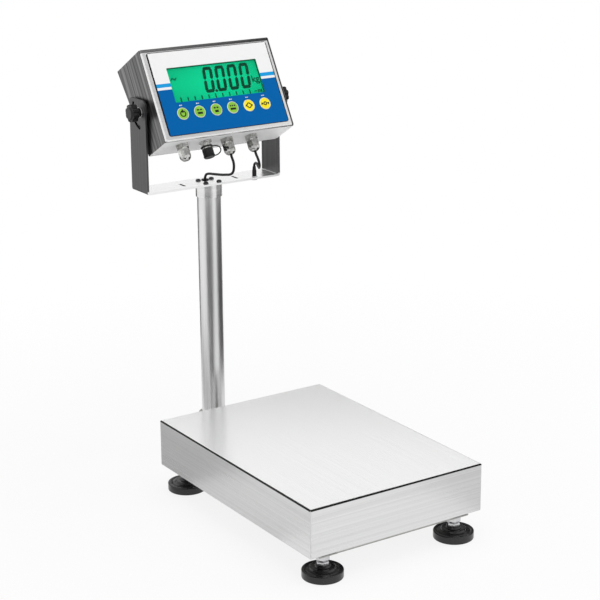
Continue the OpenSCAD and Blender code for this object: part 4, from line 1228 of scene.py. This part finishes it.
# %% [markdown]
# A digit of the display is made of bars with pointed ends that stop just short of each
# other and lean a little to the right, as the segments of a real display do. A typeface
# would have to be found for that; six bars and one shear make a nought.

# %% Display digits
LCD_FACE = 37.4
DIGIT_W, DIGIT_H, STROKE = 17.5, 42, 5.4
POINT, SHORTER, GAP = 0.46, 0.35, 0.6
DIGIT_X, DIGIT_Z = (-11.3, 10.5, 32.3, 54.1), 26.5
POINT_X, POINT_Z, POINT_R = -2.6, 7.6, 2.4
DIGIT_LEAN = math.radians(7)
SLANT = Matrix.Identity(4)
SLANT[0][1] = math.tan(DIGIT_LEAN)

ink = grained(
    "lcd_ink", "#064C38", "#05402E", rough=0.45, scale=900.0, relief=0.05, specular=0.05,
)


def nought(mesh):
    side = (DIGIT_W - STROKE) / 2
    quarter = (DIGIT_H - STROKE) / 4
    for y in (-2 * quarter, 2 * quarter):
        bar(mesh, 0, y, DIGIT_W - STROKE * SHORTER, STROKE, point=STROKE * POINT)
    for x in (-side, side):
        for y in (-quarter, quarter):
            bar(mesh, x, y, STROKE, 2 * quarter - GAP, point=STROKE * POINT)


digits = []
for x in DIGIT_X:
    digit = bmesh.new()
    nought(digit)
    digit.transform(on_face(x, DIGIT_Z, LCD_FACE) @ SLANT)
    digits.append(digit)
point = bmesh.new()
dot(point, 0, 0, POINT_R, sides=24)
point.transform(on_face(POINT_X, POINT_Z, LCD_FACE))
piece("display_digits", joined([*digits, point]), "indicator", [ink])

# %% [markdown]
# Small marks stand round the digits: a row of ticks below them, a small wave on the left,
# and a line with three cells at the lower right. They are drawn with the same bars, in
# millimetres from the tilt axis.

# %% Display marks
TICKS, TICK_X, TICK_PITCH, TICK_Z = 11, -68, 12.3, -0.2
TICK_W, LONG_TICK, SHORT_TICK = 2.1, 7.6, 6.2
WAVE_X, WAVE_Z, WAVE_TURN = (-74.4, -71, -67.6), 33.5, math.radians(48)
WAVE_SIZE, CELL_SIZE, LINE_SIZE = (6.0, 1.7), (1.8, 5.0), (5.0, 1.6)
CELL_X, CELL_Z, LINE_X = (70.6, 73.4, 76.2), -0.6, 65.8

marks = bmesh.new()
for tick in range(TICKS):
    length = SHORT_TICK if tick % 5 else LONG_TICK
    bar(marks, TICK_X + TICK_PITCH * tick, TICK_Z, TICK_W, length)
for x, turn in zip(WAVE_X, (WAVE_TURN, -WAVE_TURN, WAVE_TURN)):
    bar(marks, x, WAVE_Z, *WAVE_SIZE, turn=turn)
bar(marks, LINE_X, CELL_Z, *LINE_SIZE)
for x in CELL_X:
    bar(marks, x, CELL_Z, *CELL_SIZE)
marks.transform(on_face(0, 0, LCD_FACE))
piece("display_marks", marks, "indicator", [ink])

# %% [markdown]
# The unit beside the digits is plain lettering. A text object with Blender's own typeface
# makes it, slightly thickened, and becomes a mesh before it takes its place.

# %% Display unit
UNIT_X, UNIT_Z, UNIT_SIZE = 71, 14.5, 15
UNIT_HALF_INK, UNIT_BOLD = 0.03, 0.35
LETTER_WELD = 1e-7

lettering = bpy.data.curves.new("unit_lettering", "FONT")
lettering.body = "kg"
lettering.size = UNIT_SIZE * MM
lettering.extrude = UNIT_HALF_INK * MM
lettering.offset = UNIT_BOLD * MM
lettering.align_x = "CENTER"
letters = bpy.data.objects.new("unit_lettering", lettering)
scene.collection.objects.link(letters)
bpy.context.view_layer.update()
evaluated = letters.evaluated_get(bpy.context.evaluated_depsgraph_get())
unit = bmesh.new()
unit.from_mesh(bpy.data.meshes.new_from_object(evaluated))
bpy.data.objects.remove(letters)
bmesh.ops.remove_doubles(unit, verts=unit.verts, dist=LETTER_WELD)
unit.transform(on_face(UNIT_X, UNIT_Z, LCD_FACE + UNIT_HALF_INK))
piece("display_unit", unit, "indicator", [ink])

# %% [markdown]
# ## Keys
# Each key is a round cap with a pale rim and a coloured face, four green and two yellow.
# A cylinder with a bevel would come near, but the cap has a groove between rim and face
# and a flange behind the film, so it is spun from one profile. The rim's faces are found
# by their distance from the middle.

# %% Key finishes
def key_paint(name, shade, darker):
    return grained(name, shade, darker, rough=0.34, scale=1800.0, relief=0.05)


key_green = key_paint("key_green", "#8FC943", "#84BC3A")
key_yellow = key_paint("key_yellow", "#FFEC28", "#F5DE18")
key_rim = key_paint("key_rim", "#EEF2DC", "#E0E6C8")
key_ink = key_paint("key_ink", "#152010", "#0E170A")
print_white = key_paint("print_white", "#F6F6F6", "#E8E8E8")
print("five paints for the keys")

# %% Key caps
KEY_X, KEY_Z = (-73.5, -44.1, -14.7, 14.7, 44.1, 73.5), -23.5
KEY_FACE, KEY_STEPS, RIM_R = 41.0, 72, 8.75
KEY_PAINTS = (*[key_green] * 4, *[key_yellow] * 2)
KEY_PROFILE = [
    (0, 32.6), (2, 32.6), (2, 36.2), (11.7, 36.2), (11.7, 37.2), (9.7, 37.2),
    (9.7, 40.45), (9.65, 40.7), (9.5, 40.88), (9.3, 40.97), (9.1, KEY_FACE),
    (8.95, KEY_FACE), (8.8, 40.9), (8.65, 40.9), (8.5, KEY_FACE), (0, KEY_FACE),
]
for number, (x, paint) in enumerate(zip(KEY_X, KEY_PAINTS), 1):
    cap = spun(KEY_PROFILE, Matrix(), KEY_STEPS)
    for face in cap.faces:
        from_axis = face.calc_center_median().xy.length
        face.material_index = 1 if from_axis > RIM_R * MM else 0
    cap.transform(on_face(x, KEY_Z, 0))
    node = f"key_{number}"
    piece(node + "_cap", cap, node, [paint, key_rim], [node])

# %% [markdown]
# The signs on the keys are generic: a ring, bars, dots and arrow heads, raised by less
# than a tenth of a millimetre as a thick print is. Each is drawn about the middle of its
# key, and rides on the key, so it goes in with it.

# %% Signs on the keys
def sign_power(mesh):
    hoop(mesh, 0, -0.3, 5.2, 1.9)
    bar(mesh, 0, 3.8, 2.2, 5.4)


def sign_list(mesh):
    for x in (-2.7, 2.7):
        bar(mesh, x, 2.9, 4.0, 2.2)
    bar(mesh, 0, -2.4, 8.8, 3.4)


def sign_store(mesh):
    for x in (-2.4, 2.4):
        bar(mesh, x, 3.0, 3.4, 2.6)
    bar(mesh, 0, -2.6, 6.4, 3.8)


def sign_function(mesh):
    for x in (-3.6, 0, 3.6):
        dot(mesh, x, 2.8, 1.3)
    bar(mesh, 0, -2.2, 9.6, 3.2)


def arrow_heads(mesh, out, radius):
    dot(mesh, -out, 0, radius, sides=3)
    dot(mesh, out, 0, radius, sides=3, turn=math.pi)


def sign_tare(mesh):
    for turn in range(4):
        across = math.radians(45 + 90 * turn)
        bar(mesh, 3.4 * math.cos(across), 3.4 * math.sin(across), 1.7, 5.6, turn=across)
    arrow_heads(mesh, 5.0, 2.3)


def sign_zero(mesh):
    hoop(mesh, 0, 0, 3.2, 1.7)
    arrow_heads(mesh, 5.5, 2.7)


SIGNS = (sign_power, sign_list, sign_store, sign_function, sign_tare, sign_zero)
for number, (x, sign) in enumerate(zip(KEY_X, SIGNS), 1):
    mesh = bmesh.new()
    sign(mesh)
    mesh.transform(on_face(x, KEY_Z, KEY_FACE))
    node = f"key_{number}"
    piece(node + "_sign", mesh, node, [key_ink])

# %% [markdown]
# Over each key the film has a small white mark of two strokes. It belongs to the film
# and so stays in place when the key goes in.

# %% Marks above the keys
FILM_FACE = 40.5
MARK_UP = 13.5
MARK_STROKES = ((-1.4, 1.8, 1.6), (1.2, 2.2, 1.0))  # place beside the middle, size

key_marks = bmesh.new()
for x in KEY_X:
    for beside, *size in MARK_STROKES:
        bar(key_marks, x + beside, KEY_Z + MARK_UP, *size)
key_marks.transform(on_face(0, 0, FILM_FACE))
piece("overlay_marks", key_marks, "indicator", [print_white])

# %% [markdown]
# ## What stays inside
# The gasket, the board, its switches and the battery are closed in by the housing.
# Nobody sees their edges, so their CAD meshes stay and only get their finishes.

# %% Inner pieces
for node, finish in (
    ("panel_gasket", black_rubber), ("main_board", board_lacquer),
    ("key_switches", black_plastic), ("battery", black_plastic),
):
    kept(node, finish)

# %% [markdown]
# ## Size
# Rounding takes a little off the edges and nothing stands proud of them, so the finished
# model should fit into the CAD model's box.

# %% Size and finish
print("all pieces made")
